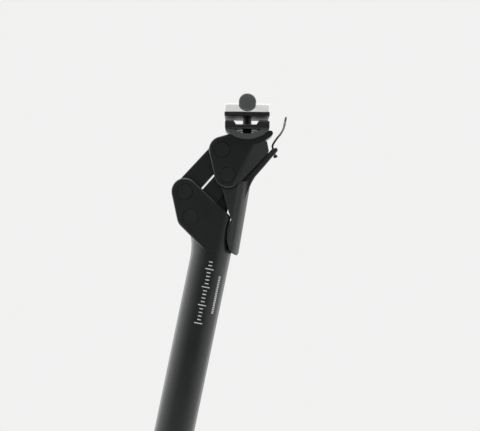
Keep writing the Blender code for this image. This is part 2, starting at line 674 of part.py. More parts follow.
def make_fender():
    """The rubber guard: side wings and a rounded back round the tube, and a strip up to the tab."""
    skirt = side_plate(
        [(-1.0, 300.6), (2.1, 293.7), (5.5, 287.2), (8.9, 281.6), (8.0, 279.0)]
        + [(7.8, 274.0), (8.3, 270.0), (9.2, 266.5), (11.3, 261.9), (14.0, 259.0), (17.4, 258.0)]
        + [(19.0, 260.0), (19.0, 304.0), (17.2, 309.6), (11.0, 309.0)]
        + arc(HEAD_LOWER, 9.7, -24, -98, 8), 16.0, name="skirt")
    outer = [(-5.0, 13.9), (9.0, 13.1), (13.1, 11.0)]
    outer += arc((1.9, 0.0), 15.7, 44.4, -44.4, 12)[1:-1] + [(x, -y) for x, y in outer[::-1]]
    inner = [(-6.0, 12.2), (8.4, 11.4), (12.0, 9.7)]
    inner += arc((1.9, 0.0), 14.0, 43.8, -43.8, 12)[1:-1] + [(x, -y) for x, y in inner[::-1]]
    for block, operation in ((plan_block(outer, 250, 320, name="skirt_outside"), "INTERSECT"),
                             (plan_block(inner, 240, 302.0, name="skirt_inside"), "DIFFERENCE")):
        block.rotation_euler = (0.0, -math.radians(2.0), 0.0)
        boolean(skirt, block, operation)
    room = side_plate(wrap(disc(HEAD_LOWER, 9.8), (-8.0, 296.0), (8.0, 290.0), (9.5, 301.0),
                           strip_point(-1.0, 0.9)), 11.8, name="link_room")
    boolean(skirt, room)
    strip = side_plate([tuple(strip_point(0.6, 0.4)), tuple(strip_point(27.0, 0.4)),
                        tuple(strip_point(31.4, 0.0)), tuple(strip_point(34.6, 1.3)),
                        tuple(strip_point(34.0, 3.6)), tuple(strip_point(28.8, 3.7)),
                        tuple(strip_point(20.5, 4.2)), tuple(strip_point(10.0, 4.6)),
                        (17.5, 309.4), (16.6, 305.0), (15.8, 300.0), (15.2, 294.0), (13.9, 294.0),
                        (12.0, 302.0)], 8.0, name="strip")
    bevel(strip, 0.5)
    boolean(skirt, strip, "UNION")
    boolean(skirt, magnet_pocket(-2.6, 0.3, 2.9))
    hole_a, hole_b = tab_hole(-2.5), tab_hole(6.5)
    boolean(skirt, rod(1.0, (hole_a.x, 0, hole_a.y), (hole_b.x, 0, hole_b.y), sides=12, name="wire_hole"))
    as_part(skirt, "fender", RUBBER, pivot=HEAD_UPPER)
    as_part(magnet_pocket(-2.3, -0.6, 2.6), "fender_magnet", BRIGHT_STEEL, pivot=HEAD_UPPER)
    as_part(magnet_pocket(0.2, 2.1, 2.6), "magnet_keeper", BRIGHT_STEEL, pivot=HEAD_UPPER)


def tab_hole(depth):
    """A point on the axis of the hole through the fender's tab, from its inner face outwards."""
    enter, leave = strip_point(32.5, 0.35), strip_point(30.7, 3.65)
    return enter + depth * (leave - enter).normalized()


def make_rail_hook():
    """A bent wire from the fender's tab up and over the place of the right-hand saddle rail."""
    wire_end, enter = tab_hole(4.2), tab_hole(0.0)
    rail = clamp_point(26.6, RAIL_DROP)
    reach = RAIL_RADIUS + 1.0
    route = [(wire_end.x, 0, wire_end.y), (enter.x, 0, enter.y), (26.4, 0, 336.9), (26.9, 0, 339.2),
             (28.4, 0.5, 342.8), (30.2, 2.5, 346.4), (31.4, 6.5, 350.0), (rail.x, 12.5, rail.y - 1.2)]
    for degrees in (170, 130, 90, 50, 10, -25):
        angle = math.radians(degrees)
        route.append((rail.x, RAIL_OFFSET + reach * math.cos(angle), rail.y + reach * math.sin(angle)))
    hook = wire(smooth_path(route, steps=3), 0.7, "hook")
    as_part(hook, "rail_hook", BLACK_STEEL, pivot=HEAD_UPPER)
    start, end = tab_hole(4.5), tab_hole(6.4)
    knob = rod(1.4, (start.x, 0, start.y), (end.x, 0, end.y), sides=16)
    as_part(knob, "hook_knob", BLACK_STEEL, pivot=HEAD_UPPER)


def main():
    make_post_body()
    make_upper_link()
    make_lower_link()
    make_bushes()
    make_axles()
    make_roller()
    spring_top = make_plunger()
    make_springs(spring_top)
    make_spring_seat()
    make_preload_plug()
    make_head()
    make_lower_clamp()
    make_upper_clamp()
    make_clamp_hardware()
    make_fender()
    make_rail_hook()


main()
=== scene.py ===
"""Looks of the parallelogram suspension seatpost, built round its CAD frame.

Laid out as a Blender add-on: sizes and colours are properties, each group of pieces is an
operator. Outlines are in millimetres in the side plane (x to the rear, z up the tube); meshes
are in metres, in place, so every object stays at the origin.
"""

import json
import math

import bmesh
import bpy
from mathutils import Matrix, Vector

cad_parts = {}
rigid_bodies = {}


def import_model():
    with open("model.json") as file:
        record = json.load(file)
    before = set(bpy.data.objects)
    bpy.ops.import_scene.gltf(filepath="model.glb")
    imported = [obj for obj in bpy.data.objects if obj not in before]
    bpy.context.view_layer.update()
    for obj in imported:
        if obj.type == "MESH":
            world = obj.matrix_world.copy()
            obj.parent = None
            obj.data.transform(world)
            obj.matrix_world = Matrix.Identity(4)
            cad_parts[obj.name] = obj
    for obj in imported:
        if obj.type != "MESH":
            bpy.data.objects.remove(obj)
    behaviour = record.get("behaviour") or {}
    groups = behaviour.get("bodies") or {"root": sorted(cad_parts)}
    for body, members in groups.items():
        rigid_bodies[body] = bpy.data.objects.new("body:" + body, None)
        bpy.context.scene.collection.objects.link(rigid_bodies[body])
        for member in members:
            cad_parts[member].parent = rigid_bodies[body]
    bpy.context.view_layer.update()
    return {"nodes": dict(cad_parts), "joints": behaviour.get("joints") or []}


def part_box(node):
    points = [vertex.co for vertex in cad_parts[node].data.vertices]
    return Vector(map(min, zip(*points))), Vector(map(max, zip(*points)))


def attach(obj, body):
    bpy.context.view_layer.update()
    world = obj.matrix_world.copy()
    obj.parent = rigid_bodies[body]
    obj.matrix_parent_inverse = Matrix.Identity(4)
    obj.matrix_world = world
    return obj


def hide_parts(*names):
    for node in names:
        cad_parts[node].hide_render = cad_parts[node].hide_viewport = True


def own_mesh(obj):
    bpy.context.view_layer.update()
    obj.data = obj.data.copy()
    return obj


bl_info = {
    "name": "Suspension Seatpost",
    "version": (1, 0, 0),
    "blender": (4, 5, 0),
    "location": "3D View > Sidebar > Seatpost",
    "description": "Builds the looks of a parallelogram suspension seatpost piece by piece",
    "category": "Add Mesh",
}

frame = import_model()
NODES = frame["nodes"]
JOINTS = {joint["name"]: joint for joint in frame["joints"]}

MM = 0.001
GAP = 0.3


def joint_place(name):
    """A joint's place in the side plane, in millimetres."""
    x, _, z = JOINTS[name]["pos_m"]
    return Vector((x / MM, z / MM))


POST_UPPER = joint_place("link_swing")
POST_LOWER = joint_place("lower_link_swing")
HEAD_UPPER = joint_place("head_level")
HEAD_LOWER = POST_LOWER + HEAD_UPPER - POST_UPPER
ROLLER_AT = joint_place("roller_spin")
ROCKER_CENTRE = joint_place("saddle_tilt")
ALONG_LINK = (HEAD_UPPER - POST_UPPER).normalized()
BEHIND = Vector((ALONG_LINK.y, -ALONG_LINK.x))
CLAMP_TILT = math.radians(11.1)
BODY_HALF = 15.0
SLOT_HALF = 10.8
LINK_HALF = 10.4
EYE_RADIUS = 6.25
BUSH_RADIUS = 5.1
BUSH_LENGTH = 5.0
AXLE_RADIUS = 3.7
AXLE_HOLE = 4.0
CAP_RADIUS = 5.3
CAP_DEPTH = 1.2
BORE_RADIUS = 11.8
TUBE_TOP = 275.5
ARM_HALF = 7.3
ROLLER_RADIUS = 6.0
ROLLER_HALF = 4.0
ROLLER_PIN_RADIUS = 2.4
ROCKER_RADIUS = 20.5
CRADLE_INNER = 20.8
CRADLE_OUTER = 24.4
RAIL_RADIUS = 3.5
RAIL_ROOM = RAIL_RADIUS + 0.15
RAIL_OFFSET = 22.0
RAIL_DROP = -7.3
CLAMP_HALF = 15.0
CLAMP_SIDE = 26.6
BARREL_RADIUS = 5.9
BARREL_RISE = 4.1
BOLT_RADIUS = 3.0
BOLT_HOLE = BOLT_RADIUS + 0.35
HOOK_ALONG = 26.6
SPRING_FOOT = 136.3
CLOSED_TURN = 0.7
MARK_DEPTH = 0.00006
MARK_WIDTH = 0.00062
CAMERA_AT = (0.0142, -0.950, 0.2855)
LIT_PLACE = (0.0, 0.0, 0.30)
FLOOR_RADIUS = 550.0
ROOM_STOPS = ((0.06, 0.0), (0.27, 0.42), (0.50, 1.0), (0.80, 1.0), (1.0, 0.5))  # front to back
LEFT_BIAS = 0.24


# ---------------------------------------------------------------- properties

def length(name, description, default, low, high):
    return bpy.props.FloatProperty(name=name, description=description, default=default, min=low,
                                   max=high, unit="LENGTH", subtype="DISTANCE", precision=4)


def colour(name, description, default):
    return bpy.props.FloatVectorProperty(name=name, description=description, default=default,
                                         size=3, min=0.0, max=1.0, subtype="COLOR")


def whole(name, description, default, low, high):
    return bpy.props.IntProperty(name=name, description=description, default=default, min=low, max=high)


def level(name, description, default, high, unit="NONE"):
    return bpy.props.FloatProperty(name=name, description=description, default=default, min=0.0,
                                   max=high, unit=unit)


class SeatpostSizes(bpy.types.PropertyGroup):
    """Sizes that a user may change without moving a joint."""

    tube_radius: length("Tube radius", "Outer radius of the tube", 0.0136, 0.0125, 0.0158)
    forged_edge: length("Forged edge", "Rounding of the knuckle's and the head's edges", 0.0012, 0.0, 0.002)
    cap_edge: length("Cap edge", "Chamfer round each pivot cap", 0.0006, 0.0001, 0.0008)
    wire_radius: length("Hook wire", "Radius of the hook's wire", 0.0007, 0.0004, 0.001)
    mark_pitch: length("Mark pitch", "Distance between two marks of the depth scale", 0.0025, 0.001, 0.01)
    mark_start: length("Mark start", "Height of the scale's lowest mark", 0.208, 0.15, 0.24)
    mark_count: whole("Marks", "Number of wide marks on the scale", 18, 2, 40)
    main_turns: whole("Main coil turns", "Turns of the outer spring", 8, 4, 14)
    inner_turns: whole("Inner coil turns", "Turns of the inner spring", 9, 4, 16)


class SeatpostColours(bpy.types.PropertyGroup):
    """Base colours of the finishes."""

    anodised: colour("Anodised", "Blasted and anodised aluminium", (0.0065, 0.0082, 0.0080))
    satin: colour("Satin black", "Painted pivot caps and clamp", (0.0085, 0.0095, 0.0095))
    # A lighter grey for the rocker ring than the black rail beds above it.
    rocker_grey: colour("Grey anodised", "Rocker ring of the saddle clamp", (0.105, 0.111, 0.111))
    black_steel: colour("Blackened steel", "Barrel nut and roller pin", (0.180, 0.185, 0.187))
    coated_steel: colour("Coated steel", "Clamp bolt and hook", (0.020, 0.021, 0.021))
    # Near white: a painted highlight, standing in for the top light glaring on the upper half of the top
    # clamp plate.
    painted_highlight: colour("Polished alloy", "Top clamp plate", (0.86, 0.86, 0.85))
    bright_steel: colour("Bright steel", "Roller, plunger and washer", (0.56, 0.56, 0.57))
    spring_steel: colour("Spring steel", "Both coil springs", (0.30, 0.31, 0.32))
    bronze: colour("Bronze", "Link bushes", (0.42, 0.27, 0.11))
    rubber: colour("Rubber", "Guard and bump stop", (0.0045, 0.0056, 0.0056))
    plastic: colour("Plastic", "Spring seat", (0.045, 0.045, 0.047))
    marks: colour("Marks", "Lasered depth scale", (0.55, 0.55, 0.54))


class SeatpostStage(bpy.types.PropertyGroup):
    """Studio light and camera."""

    backdrop: level("Backdrop", "Brightness of the pale backdrop", 0.885, 2.0)
    front: level("Front room", "Brightness of the room in front", 0.20, 2.0)
    sides: level("Side walls", "Brightness of the room's sides", 1.75, 6.0)
    strip_power: level("Side strips", "Power of each side strip", 1.0, 60.0, "POWER")
    top_power: level("Top box", "Power of the overhead box", 12.0, 200.0, "POWER")
    roll: bpy.props.FloatProperty(name="Camera roll", description="Turn of the camera about its own line",
                                  default=math.radians(11.73), subtype="ANGLE", unit="ROTATION")
    focal: bpy.props.FloatProperty(name="Focal length", description="Lens of the camera", default=103.26,
                                   min=20.0, max=300.0, unit="CAMERA")


# ---------------------------------------------------------------- node trees

class Value:
    """A number in a node tree; Python's own signs on it add Math nodes."""

    def __init__(self, graph, socket):
        self.graph = graph
        self.socket = socket

    def math(self, operation, *others):
        values = dict(enumerate((self, *others)))
        made = self.graph.node("ShaderNodeMath", {"operation": operation}, values)
        return Value(self.graph, made.outputs[0])

    def __add__(self, other):
        return self.math("ADD", other)

    def __sub__(self, other):
        return self.math("SUBTRACT", other)

    def __rsub__(self, other):
        return self.math("MULTIPLY_ADD", -1.0, other)

    def __mul__(self, other):
        return self.math("MULTIPLY", other)

    def __truediv__(self, other):
        return self.math("DIVIDE", other)

    def __mod__(self, other):
        return self.math("FLOORED_MODULO", other)

    __radd__ = __add__
    __rmul__ = __mul__


class Graph:
    """Adds nodes to one tree."""

    def __init__(self, tree):
        self.tree = tree

    def node(self, kind, settings=None, values=None):
        made = self.tree.nodes.new(kind)
        for name, setting in (settings or {}).items():
            if name == "stops":
                elements = made.color_ramp.elements
                while len(elements) < len(setting):
                    elements.new(1.0)
                for element, (position, level) in zip(elements, setting):
                    element.position = position
                    element.color = (level, level, level, 1.0)
            else:
                setattr(made, name, setting)
        for name, value in (values or {}).items():
            self.feed(made.inputs[name], value)
        return made

    def feed(self, socket, value):
        if isinstance(value, Value):
            value = value.socket
        if isinstance(value, bpy.types.NodeSocket):
            self.tree.links.new(value, socket)
        else:
            socket.default_value = value

    def value(self, kind, settings=None, values=None, output=0):
        return Value(self, self.node(kind, settings, values).outputs[output])


class Finish(Graph):
    """A Principled material whose pattern lies in the object's own space."""

    def __init__(self, name, roughness, metallic, fixed=None):
        self.material = bpy.data.materials.new(name)
        self.material.use_nodes = True
        super().__init__(self.material.node_tree)
        self.shader = self.tree.nodes["Principled BSDF"]
        self.place = self.node("ShaderNodeTexCoord").outputs["Object"]
        self.shader.inputs["Roughness"].default_value = roughness
        self.shader.inputs["Metallic"].default_value = metallic
        for socket, value in (fixed or {}).items():
            self.shader.inputs[socket].default_value = value

    def noise(self, scale, detail=2.0, stretch=(1.0, 1.0, 1.0)):
        moved = self.node("ShaderNodeMapping", None, {"Vector": self.place, "Scale": stretch})
        return self.value("ShaderNodeTexNoise", None,
                          {"Vector": moved.outputs[0], "Scale": scale, "Detail": detail})

    def tint(self, base, dark, light, share):
        """Base Color that wanders between a darker and a lighter tone of one colour."""
        made = self.node("ShaderNodeMix", {"data_type": "RGBA"}, {
            "Factor": share,
            6: (*[channel * dark for channel in base], 1.0),
            7: (*[min(channel * light, 1.0) for channel in base], 1.0)})
        self.feed(self.shader.inputs["Base Color"], made.outputs[2])
        self.material.diffuse_color = (*base, 1.0)

    def bump(self, height, distance, strength=1.0):
        made = self.node("ShaderNodeBump", None,
                         {"Height": height, "Distance": distance, "Strength": strength})
        self.feed(self.shader.inputs["Normal"], made.outputs[0])

    def rough(self, value):
        self.feed(self.shader.inputs["Roughness"], value)


def blasted(name, base, roughness=0.31):
    """Fine blasted grain under a black anodised layer, with faint handling marks."""
    made = Finish(name, roughness, 0.0, {"Specular IOR Level": 0.5})
    grain, smudge = made.noise(5200.0), made.noise(70.0, 5.0)
    rubbed = made.noise(420.0, 6.0, (1.0, 1.0, 0.25))
    made.tint(base, 0.75, 1.35, smudge * 0.7 + grain * 0.3)
    made.rough(roughness - 0.05 + smudge * 0.07 + rubbed * 0.05)
    made.bump(grain, 0.000012)
    return made.material


def painted(name, base, roughness=0.42):
    """Satin paint with a faint orange-peel surface."""
    made = Finish(name, roughness, 0.0, {"Specular IOR Level": 0.35})
    peel, smudge = made.noise(1500.0, 1.0), made.noise(90.0, 4.0)
    made.tint(base, 0.8, 1.3, smudge)
    made.rough(roughness - 0.04 + smudge * 0.08)
    made.bump(peel, 0.000015)
    return made.material


def brushed(name, base, roughness, metallic, stretch, depth=0.000004):
    """Metal with fine lines along one direction."""
    made = Finish(name, roughness, metallic)
    lines, haze = made.noise(900.0, 3.0, stretch), made.noise(80.0, 3.0)
    made.tint(base, 0.88, 1.06, lines * 0.6 + haze * 0.4)
    made.rough(roughness - 0.04 + lines * 0.06 + haze * 0.04)
    made.bump(lines, depth)
    return made.material


def steel(name, base, roughness, metallic=1.0):
    """Plated or blackened steel with faint cloudiness."""
    made = Finish(name, roughness, metallic)
    cloud, grain = made.noise(160.0, 5.0), made.noise(3800.0)
    made.tint(base, 0.82, 1.15, cloud)
    made.rough(roughness - 0.04 + cloud * 0.1)
    made.bump(grain, 0.000006)
    return made.material


def rubbery(name, base, roughness=0.5):
    """Matt moulded rubber with a slight bloom."""
    made = Finish(name, roughness, 0.0, {"Specular IOR Level": 0.5, "Sheen Weight": 0.06,
                                         "Sheen Roughness": 0.5})
    grain, bloom = made.noise(2600.0, 3.0), made.noise(120.0, 5.0)
    made.tint(base, 0.75, 1.45, bloom * 0.75 + grain * 0.25)
    made.rough(roughness - 0.06 + bloom * 0.12)
    made.bump(grain, 0.00003)
    return made.material


def finish(key):
    """The named finish, made once from the scene's colours."""
    if key not in FINISHES:
        colours = bpy.context.scene.seatpost_colours
        FINISHES[key] = MAKERS[key](colours)
    return FINISHES[key]


FINISHES = {}
MAKERS = {
    "black_anodised": lambda c: blasted("black_anodised_blast", c.anodised),
    "rocker_grey": lambda c: blasted("grey_anodised_blast", c.rocker_grey, 0.4),
    "black_satin": lambda c: painted("black_satin_paint", c.satin),
    "black_steel": lambda c: steel("blackened_steel", c.black_steel, 0.34, 0.85),
    "coated_steel": lambda c: steel("black_coated_steel", c.coated_steel, 0.4, 0.2),
    # The top plate's upper half in near white: a painted highlight of the top light.
    "polished_alloy": lambda c: brushed("polished_alloy_brushed", c.painted_highlight, 0.5, 0.3, (0.05, 1.0, 1.0)),
    "bright_steel": lambda c: steel("bright_plated_steel", c.bright_steel, 0.25),
    "spring_steel": lambda c: steel("oiled_spring_steel", c.spring_steel, 0.3),
    "bronze": lambda c: steel("sintered_bronze", c.bronze, 0.42),
    "rubber": lambda c: rubbery("guard_rubber", c.rubber),
    "plastic": lambda c: painted("moulded_plastic", c.plastic, 0.5),
    "marks": lambda c: painted("laser_marks", c.marks, 0.55),
}


# ---------------------------------------------------------------- outlines and solids

def arc(centre, radius, start, end, count):
    """Points along an arc, angles in degrees."""
    turns = (math.radians(start + (end - start) * step / count) for step in range(count + 1))
    return [(centre[0] + radius * math.cos(a), centre[1] + radius * math.sin(a)) for a in turns]


def disc(at, radius):
    return (at[0], at[1], radius)


def leftward(a, b, c):
    return (b[0] - a[0]) * (c[1] - a[1]) - (b[1] - a[1]) * (c[0] - a[0])


def wrap(*rounds, count=96):
    """The outline of a band stretched round discs (x, y, radius) and bare points (x, y)."""
    cloud = set()
    for item in rounds:
        points = arc(item[:2], item[2], 0, 360, count)[:-1] if len(item) == 3 else [item]
        cloud.update((round(x, 5), round(y, 5)) for x, y in points)

    def half(points):
        chain = []
        for point in points:
            while len(chain) > 1 and leftward(chain[-2], chain[-1], point) <= 1e-6:
                chain.pop()
            chain.append(point)
        return chain[:-1]

    return half(sorted(cloud)) + half(sorted(cloud, reverse=True))


def link_object(mesh, name):
    made = bpy.data.objects.new(name, mesh)
    bpy.context.scene.collection.objects.link(made)
    return made


def solid_of(work, matrix, name):
    """The object of a finished bmesh, moved into place in millimetres and scaled to metres."""
    work.transform(Matrix.Scale(MM, 4) @ matrix)
    bmesh.ops.recalc_face_normals(work, faces=work.faces)
    mesh = bpy.data.meshes.new(name)
    work.to_mesh(mesh)
    work.free()
    return link_object(mesh, name)


def prism(outline, low, high, matrix, name):
    """A closed solid of one outline, from low to high, turned into place by a matrix."""
    work = bmesh.new()
    rings = [[work.verts.new((x, y, level)) for x, y in outline] for level in (low, high)]
    work.faces.new(rings[0][::-1])
    work.faces.new(rings[1])
    for a, b, c, d in zip(rings[0], rings[0][1:] + rings[0][:1], rings[1][1:] + rings[1][:1], rings[1]):
        work.faces.new((a, b, c, d))
    return solid_of(work, matrix, name)


def side_plate(outline, half_width, at=(0.0, 0.0), y=0.0, angle=0.0, name="plate"):
    """An outline in the side plane, given thickness across the bicycle."""
    matrix = (Matrix.Translation((at[0], y, at[1])) @ Matrix.Rotation(-angle, 4, "Y")
              @ Matrix.Rotation(math.radians(90), 4, "X"))
    return prism(outline, -half_width, half_width, matrix, name)


def plan_block(outline, low, high, angle=0.0, name="block"):
    """An outline seen from above, standing from low to high and leaning back by an angle."""
    middle = (low + high) / 2
    matrix = Matrix.Translation((0, 0, middle)) @ Matrix.Rotation(-angle, 4, "Y")
    return prism(outline, low - middle, high - middle, matrix, name)


def rod(radius, start, end, sides=64, name="rod"):
    """A cylinder between two points."""
    start, end = Vector(start), Vector(end)
    turn = (end - start).to_track_quat("Z", "Y").to_matrix().to_4x4()
    circle = arc((0.0, 0.0), radius, 0, 360, sides)[:-1]
    return prism(circle, 0.0, (end - start).length, Matrix.Translation(start) @ turn, name)


def turned(profile, at, axis="Z", sides=72, name="turned"):
    """A closed profile of (radius, height) points turned about an axis through a place."""
    work = bmesh.new()
    ring = [work.verts.new((radius, 0.0, height)) for radius, height in profile]
    edges = [work.edges.new((a, b)) for a, b in zip(ring, ring[1:] + ring[:1])]
    bmesh.ops.spin(work, geom=ring + edges, cent=(0, 0, 0), axis=(0, 0, 1), dvec=(0, 0, 0),
                   angle=math.tau, steps=sides, use_merge=True, use_duplicate=False)
    bmesh.ops.remove_doubles(work, verts=work.verts, dist=0.005)
    bmesh.ops.delete(work, geom=[edge for edge in work.edges if not edge.link_faces], context="EDGES")
    turn = Matrix.Rotation(math.radians(-90), 4, "X") if axis == "Y" else Matrix.Identity(4)
    return solid_of(work, Matrix.Translation(at) @ turn, name)


def rounded(target, width, segments=3, angle=40.0):
    modifier = target.modifiers.new("rounded", "BEVEL")
    modifier.width = width
    modifier.segments = segments
    modifier.limit_method = "ANGLE"
    modifier.angle_limit = math.radians(angle)
    return target


def carve(target, *tools, operation="DIFFERENCE"):
    for tool in tools:
        modifier = target.modifiers.new(tool.name, "BOOLEAN")
        modifier.object = tool
        modifier.operation = operation
        modifier.solver = "EXACT"
    return target


def tools_of(target):
    """Every object that a piece's booleans use, and that those use in turn."""
    found = []
    for modifier in target.modifiers:
        if modifier.type == "BOOLEAN":
            found += [modifier.object] + tools_of(modifier.object)
    return found


def settle(target):
    """Bake the modifiers into the mesh and remove the tools."""
    graph = bpy.context.evaluated_depsgraph_get()
    mesh = bpy.data.meshes.new_from_object(target.evaluated_get(graph))
    tools = {tool.name for tool in tools_of(target)}
    target.modifiers.clear()
    target.data = mesh
    in_use = {tool.name for other in bpy.context.scene.objects for tool in tools_of(other)
              if other.name not in tools}
    for name in tools - in_use:
        bpy.data.objects.remove(bpy.data.objects[name], do_unlink=True)
    work = bmesh.new()
    work.from_mesh(mesh)
    bmesh.ops.remove_doubles(work, verts=work.verts, dist=0.000002)
    bmesh.ops.dissolve_degenerate(work, edges=work.edges, dist=0.000001)
    work.to_mesh(mesh)
    work.free()
    return target


def softened(target, voxel=0.00038, passes=6):
    """Melt a solid's edges together, as on a moulding or a tumbled forging."""
    settle(target)
    remesh = target.modifiers.new("melt", "REMESH")
    remesh.mode = "VOXEL"
    remesh.voxel_size = voxel
    smooth = target.modifiers.new("smooth", "SMOOTH")
    smooth.factor = 0.5
    smooth.iterations = passes
    return settle(target)


def present(made, name, key, body, replaced=(), sharp=30.0):
    """Name a finished piece, give it its finish and put it on its body."""
    if made.modifiers:
        settle(made)
    made.name = name
    made.data.name = name
    made.data.materials.clear()
    made.data.materials.append(finish(key))
    made.data.shade_smooth()
    if sharp:
        made.data.set_sharp_from_angle(angle=math.radians(sharp))
    if replaced:
        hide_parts(*replaced)
    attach(made, body)
    if not made.data.polygons:
        raise RuntimeError(f"{name} came out empty")
    return made


def dress(key, *names):
    """A better finish on CAD nodes whose shape is kept."""
    for name in names:
        NODES[name].data.materials.clear()
        NODES[name].data.materials.append(finish(key))


# ---------------------------------------------------------------- post and links

def pivot_cuts(pivots):
    """Axle bores and the shallow seats of the caps, through both cheeks."""
    reach = BODY_HALF + 2
    seat = BODY_HALF - CAP_DEPTH - GAP
    cuts = []
    for at in pivots:
        cuts.append(rod(AXLE_HOLE, (at.x, -reach, at.y), (at.x, reach, at.y), name="axle_bore"))
        for side in (-1, 1):
            cuts.append(rod(CAP_RADIUS + 0.08, (at.x, side * seat, at.y), (at.x, side * reach, at.y),
                            sides=96, name="cap_seat"))
    return cuts


def flare_block(tube, inset):
    """The knuckle from above: a flat front that closes in to the tube's round."""
    flat_end, front, reach = -13.0, -40.0, BODY_HALF + 1.0
    low, high = 240, 320
    corners = [(x, side * reach) for x in (flat_end, front) for side in (-1, 1)]
    return plan_block(wrap((0.0, 0.0, tube - inset), *corners, count=160), low, high, name="flare")


def make_post(sizes):
    """The tube, and the knuckle whose two ears grow out of it."""
    tube = sizes.tube_radius / MM
    ears = side_plate(wrap(disc(POST_UPPER, 9.2), disc(POST_LOWER, 9.3), (1.1, 277.1, 9.1),
                           (4.4, 270.5, 9.1), (2.0, 256.0), (-3.0, 256.5)), BODY_HALF, name="ears")
    rounded(ears, sizes.forged_edge, 4)
    carve(ears, flare_block(tube, 0.01), operation="INTERSECT")
    fillet = turned([(0.0, 248.0), (12.3, 248.0), (12.45, 252.0), (12.8, 256.0), (13.4, 259.5),
                     (14.2, 262.5), (15.4, 265.5), (15.4, 267.0), (0.0, 267.0)], (-1.2, 0.0, 0.0),
                    sides=128, name="fillet")
    carve(fillet, flare_block(tube, 0.12), operation="INTERSECT")
    carve(ears, fillet, rod(tube, (0, 0, 0), (0, 0, TUBE_TOP), sides=160, name="tube"), operation="UNION")
    slot = side_plate(wrap(disc(POST_LOWER, 8.7), (-45.0, 278.0), (-45.0, 330.0), (25.0, 330.0),
                           (25.0, TUBE_TOP - 0.4)), SLOT_HALF, name="link_slot")
    low, high = POST_LOWER + Vector((17.85, -8.33)), ROLLER_AT
    arm_slot = side_plate(wrap((-14.0, 273.2, 7.8), disc(low, 7.1), disc(high, 8.0), (14.2, 270.2),
                               (14.2, 277.0)), ARM_HALF + 0.5, name="arm_slot")
    carve(ears, rod(BORE_RADIUS, (0, 0, -5), (0, 0, 320), sides=128, name="bore"), slot, arm_slot,
          *pivot_cuts((POST_LOWER, POST_UPPER)))
    return present(ears, "post_shell", "black_anodised", "post", ["post_body"])


def eye_cuts(eyes):
    """Each eye's bore with a wide seat for a bush at both sides."""
    reach = LINK_HALF + 2
    cuts = []
    for at in eyes:
        cuts.append(rod(AXLE_HOLE + 0.6, (at.x, -reach, at.y), (at.x, reach, at.y), name="eye"))
        for side in (-1, 1):
            inner = side * (LINK_HALF - BUSH_LENGTH - GAP)
            cuts.append(rod(BUSH_RADIUS + 0.05, (at.x, inner, at.y), (at.x, side * reach, at.y), name="seat"))
    return cuts


def make_links():
    """The upper link, and the lower link with its forked arm for the roller."""
    upper = side_plate(wrap(disc(POST_UPPER, EYE_RADIUS), disc(POST_UPPER - 2.1 * BEHIND, EYE_RADIUS),
                            disc(HEAD_UPPER, EYE_RADIUS), disc(HEAD_UPPER - 1.2 * BEHIND, EYE_RADIUS)),
                       LINK_HALF, name="upper")
    carve(rounded(upper, 0.0007), *eye_cuts((POST_UPPER, HEAD_UPPER)))
    present(upper, "upper_link_forging", "black_anodised", "upper_link", ["upper_link"])

    reach = HEAD_LOWER - POST_LOWER
    roller = ROLLER_AT - POST_LOWER
    lower = side_plate(wrap(disc(POST_LOWER, EYE_RADIUS), disc(HEAD_LOWER, EYE_RADIUS),
                            disc(HEAD_LOWER + 1.2 * BEHIND, EYE_RADIUS)), LINK_HALF, name="lower")
    rounded(lower, 0.0007)
    arm = side_plate(wrap((0.0, 0.0, EYE_RADIUS), disc(0.85 * reach, EYE_RADIUS), disc(roller, 5.6),
                          disc(roller + Vector((0.8, 3.0)), 5.2)), ARM_HALF, at=POST_LOWER, name="arm")
    carve(lower, rounded(arm, 0.0005), operation="UNION")
    x, z = ROLLER_AT
    fork = side_plate(wrap((x, z, ROLLER_RADIUS + 0.9), (x + 12, z + 4), (x + 12, z - 14), (x - 3, z - 14)),
                      ROLLER_HALF + GAP, name="fork")
    carve(lower, fork, rod(ROLLER_PIN_RADIUS + 0.05, (x, -20, z), (x, 20, z), name="pin_hole"),
          *eye_cuts((POST_LOWER, HEAD_LOWER)))
    present(lower, "lower_link_forging", "black_anodised", "lower_link", ["lower_link"])


def make_axles(sizes):
    """Four axles: a flat cap on the left, and on the right a screw with a hex recess."""
    edge = sizes.cap_edge / MM
    bore, bore_end = 2.4, 5.0
    thread, thread_end = 2.1, 6.0
    hex_radius, hex_depth = 2.05, 1.8
    shaft = BODY_HALF - CAP_DEPTH
    face = BODY_HALF - 0.15
    bodies = ("post", "post", "head", "head")
    pivots = (POST_LOWER, POST_UPPER, HEAD_LOWER, HEAD_UPPER)
    for number, (at, body) in enumerate(zip(pivots, bodies), start=1):
        place = (at.x, 0.0, at.y)
        axle = turned([(0.0, -face), (CAP_RADIUS - 2 * edge, -face), (CAP_RADIUS - edge, -face - 0.12),
                       (CAP_RADIUS - 0.3 * edge, -face), (CAP_RADIUS, -face + edge),
                       (CAP_RADIUS, -shaft), (AXLE_RADIUS, -shaft), (AXLE_RADIUS, shaft - 0.4),
                       (bore, shaft - 0.4), (bore, bore_end), (0.0, bore_end)], place, axis="Y")
        present(axle, f"axle_{number}", "black_satin", body, [f"pivot_axle_{number}"])
        screw = turned([(0.0, thread_end), (thread, thread_end), (thread, shaft), (CAP_RADIUS, shaft),
                        (CAP_RADIUS, face - edge), (CAP_RADIUS - edge, face), (0.0, face)], place, axis="Y")
        recess = rod(hex_radius, (at.x, shaft - hex_depth, at.y), (at.x, BODY_HALF + 1, at.y), sides=6,
                     name="hex")
        carve(screw, recess)
        present(screw, f"cap_screw_{number}", "black_satin", body, [f"axle_screw_{number}"])


# ---------------------------------------------------------------- head

def strip_point(along, off=0.0):
    """A point on the head's slanted underside, where the guard's strip lies; off is outwards."""
    foot, slope = Vector((9.8, 307.6)), Vector((0.527, 0.850))
    return foot + along * slope + off * Vector((slope.y, -slope.x))


def tab_hole(depth):
    """A point on the axis of the hole through the guard's tab, from its inner face outwards."""
    enter, leave = strip_point(32.5, 0.35), strip_point(30.7, 3.65)
    return enter + depth * (leave - enter).normalized()


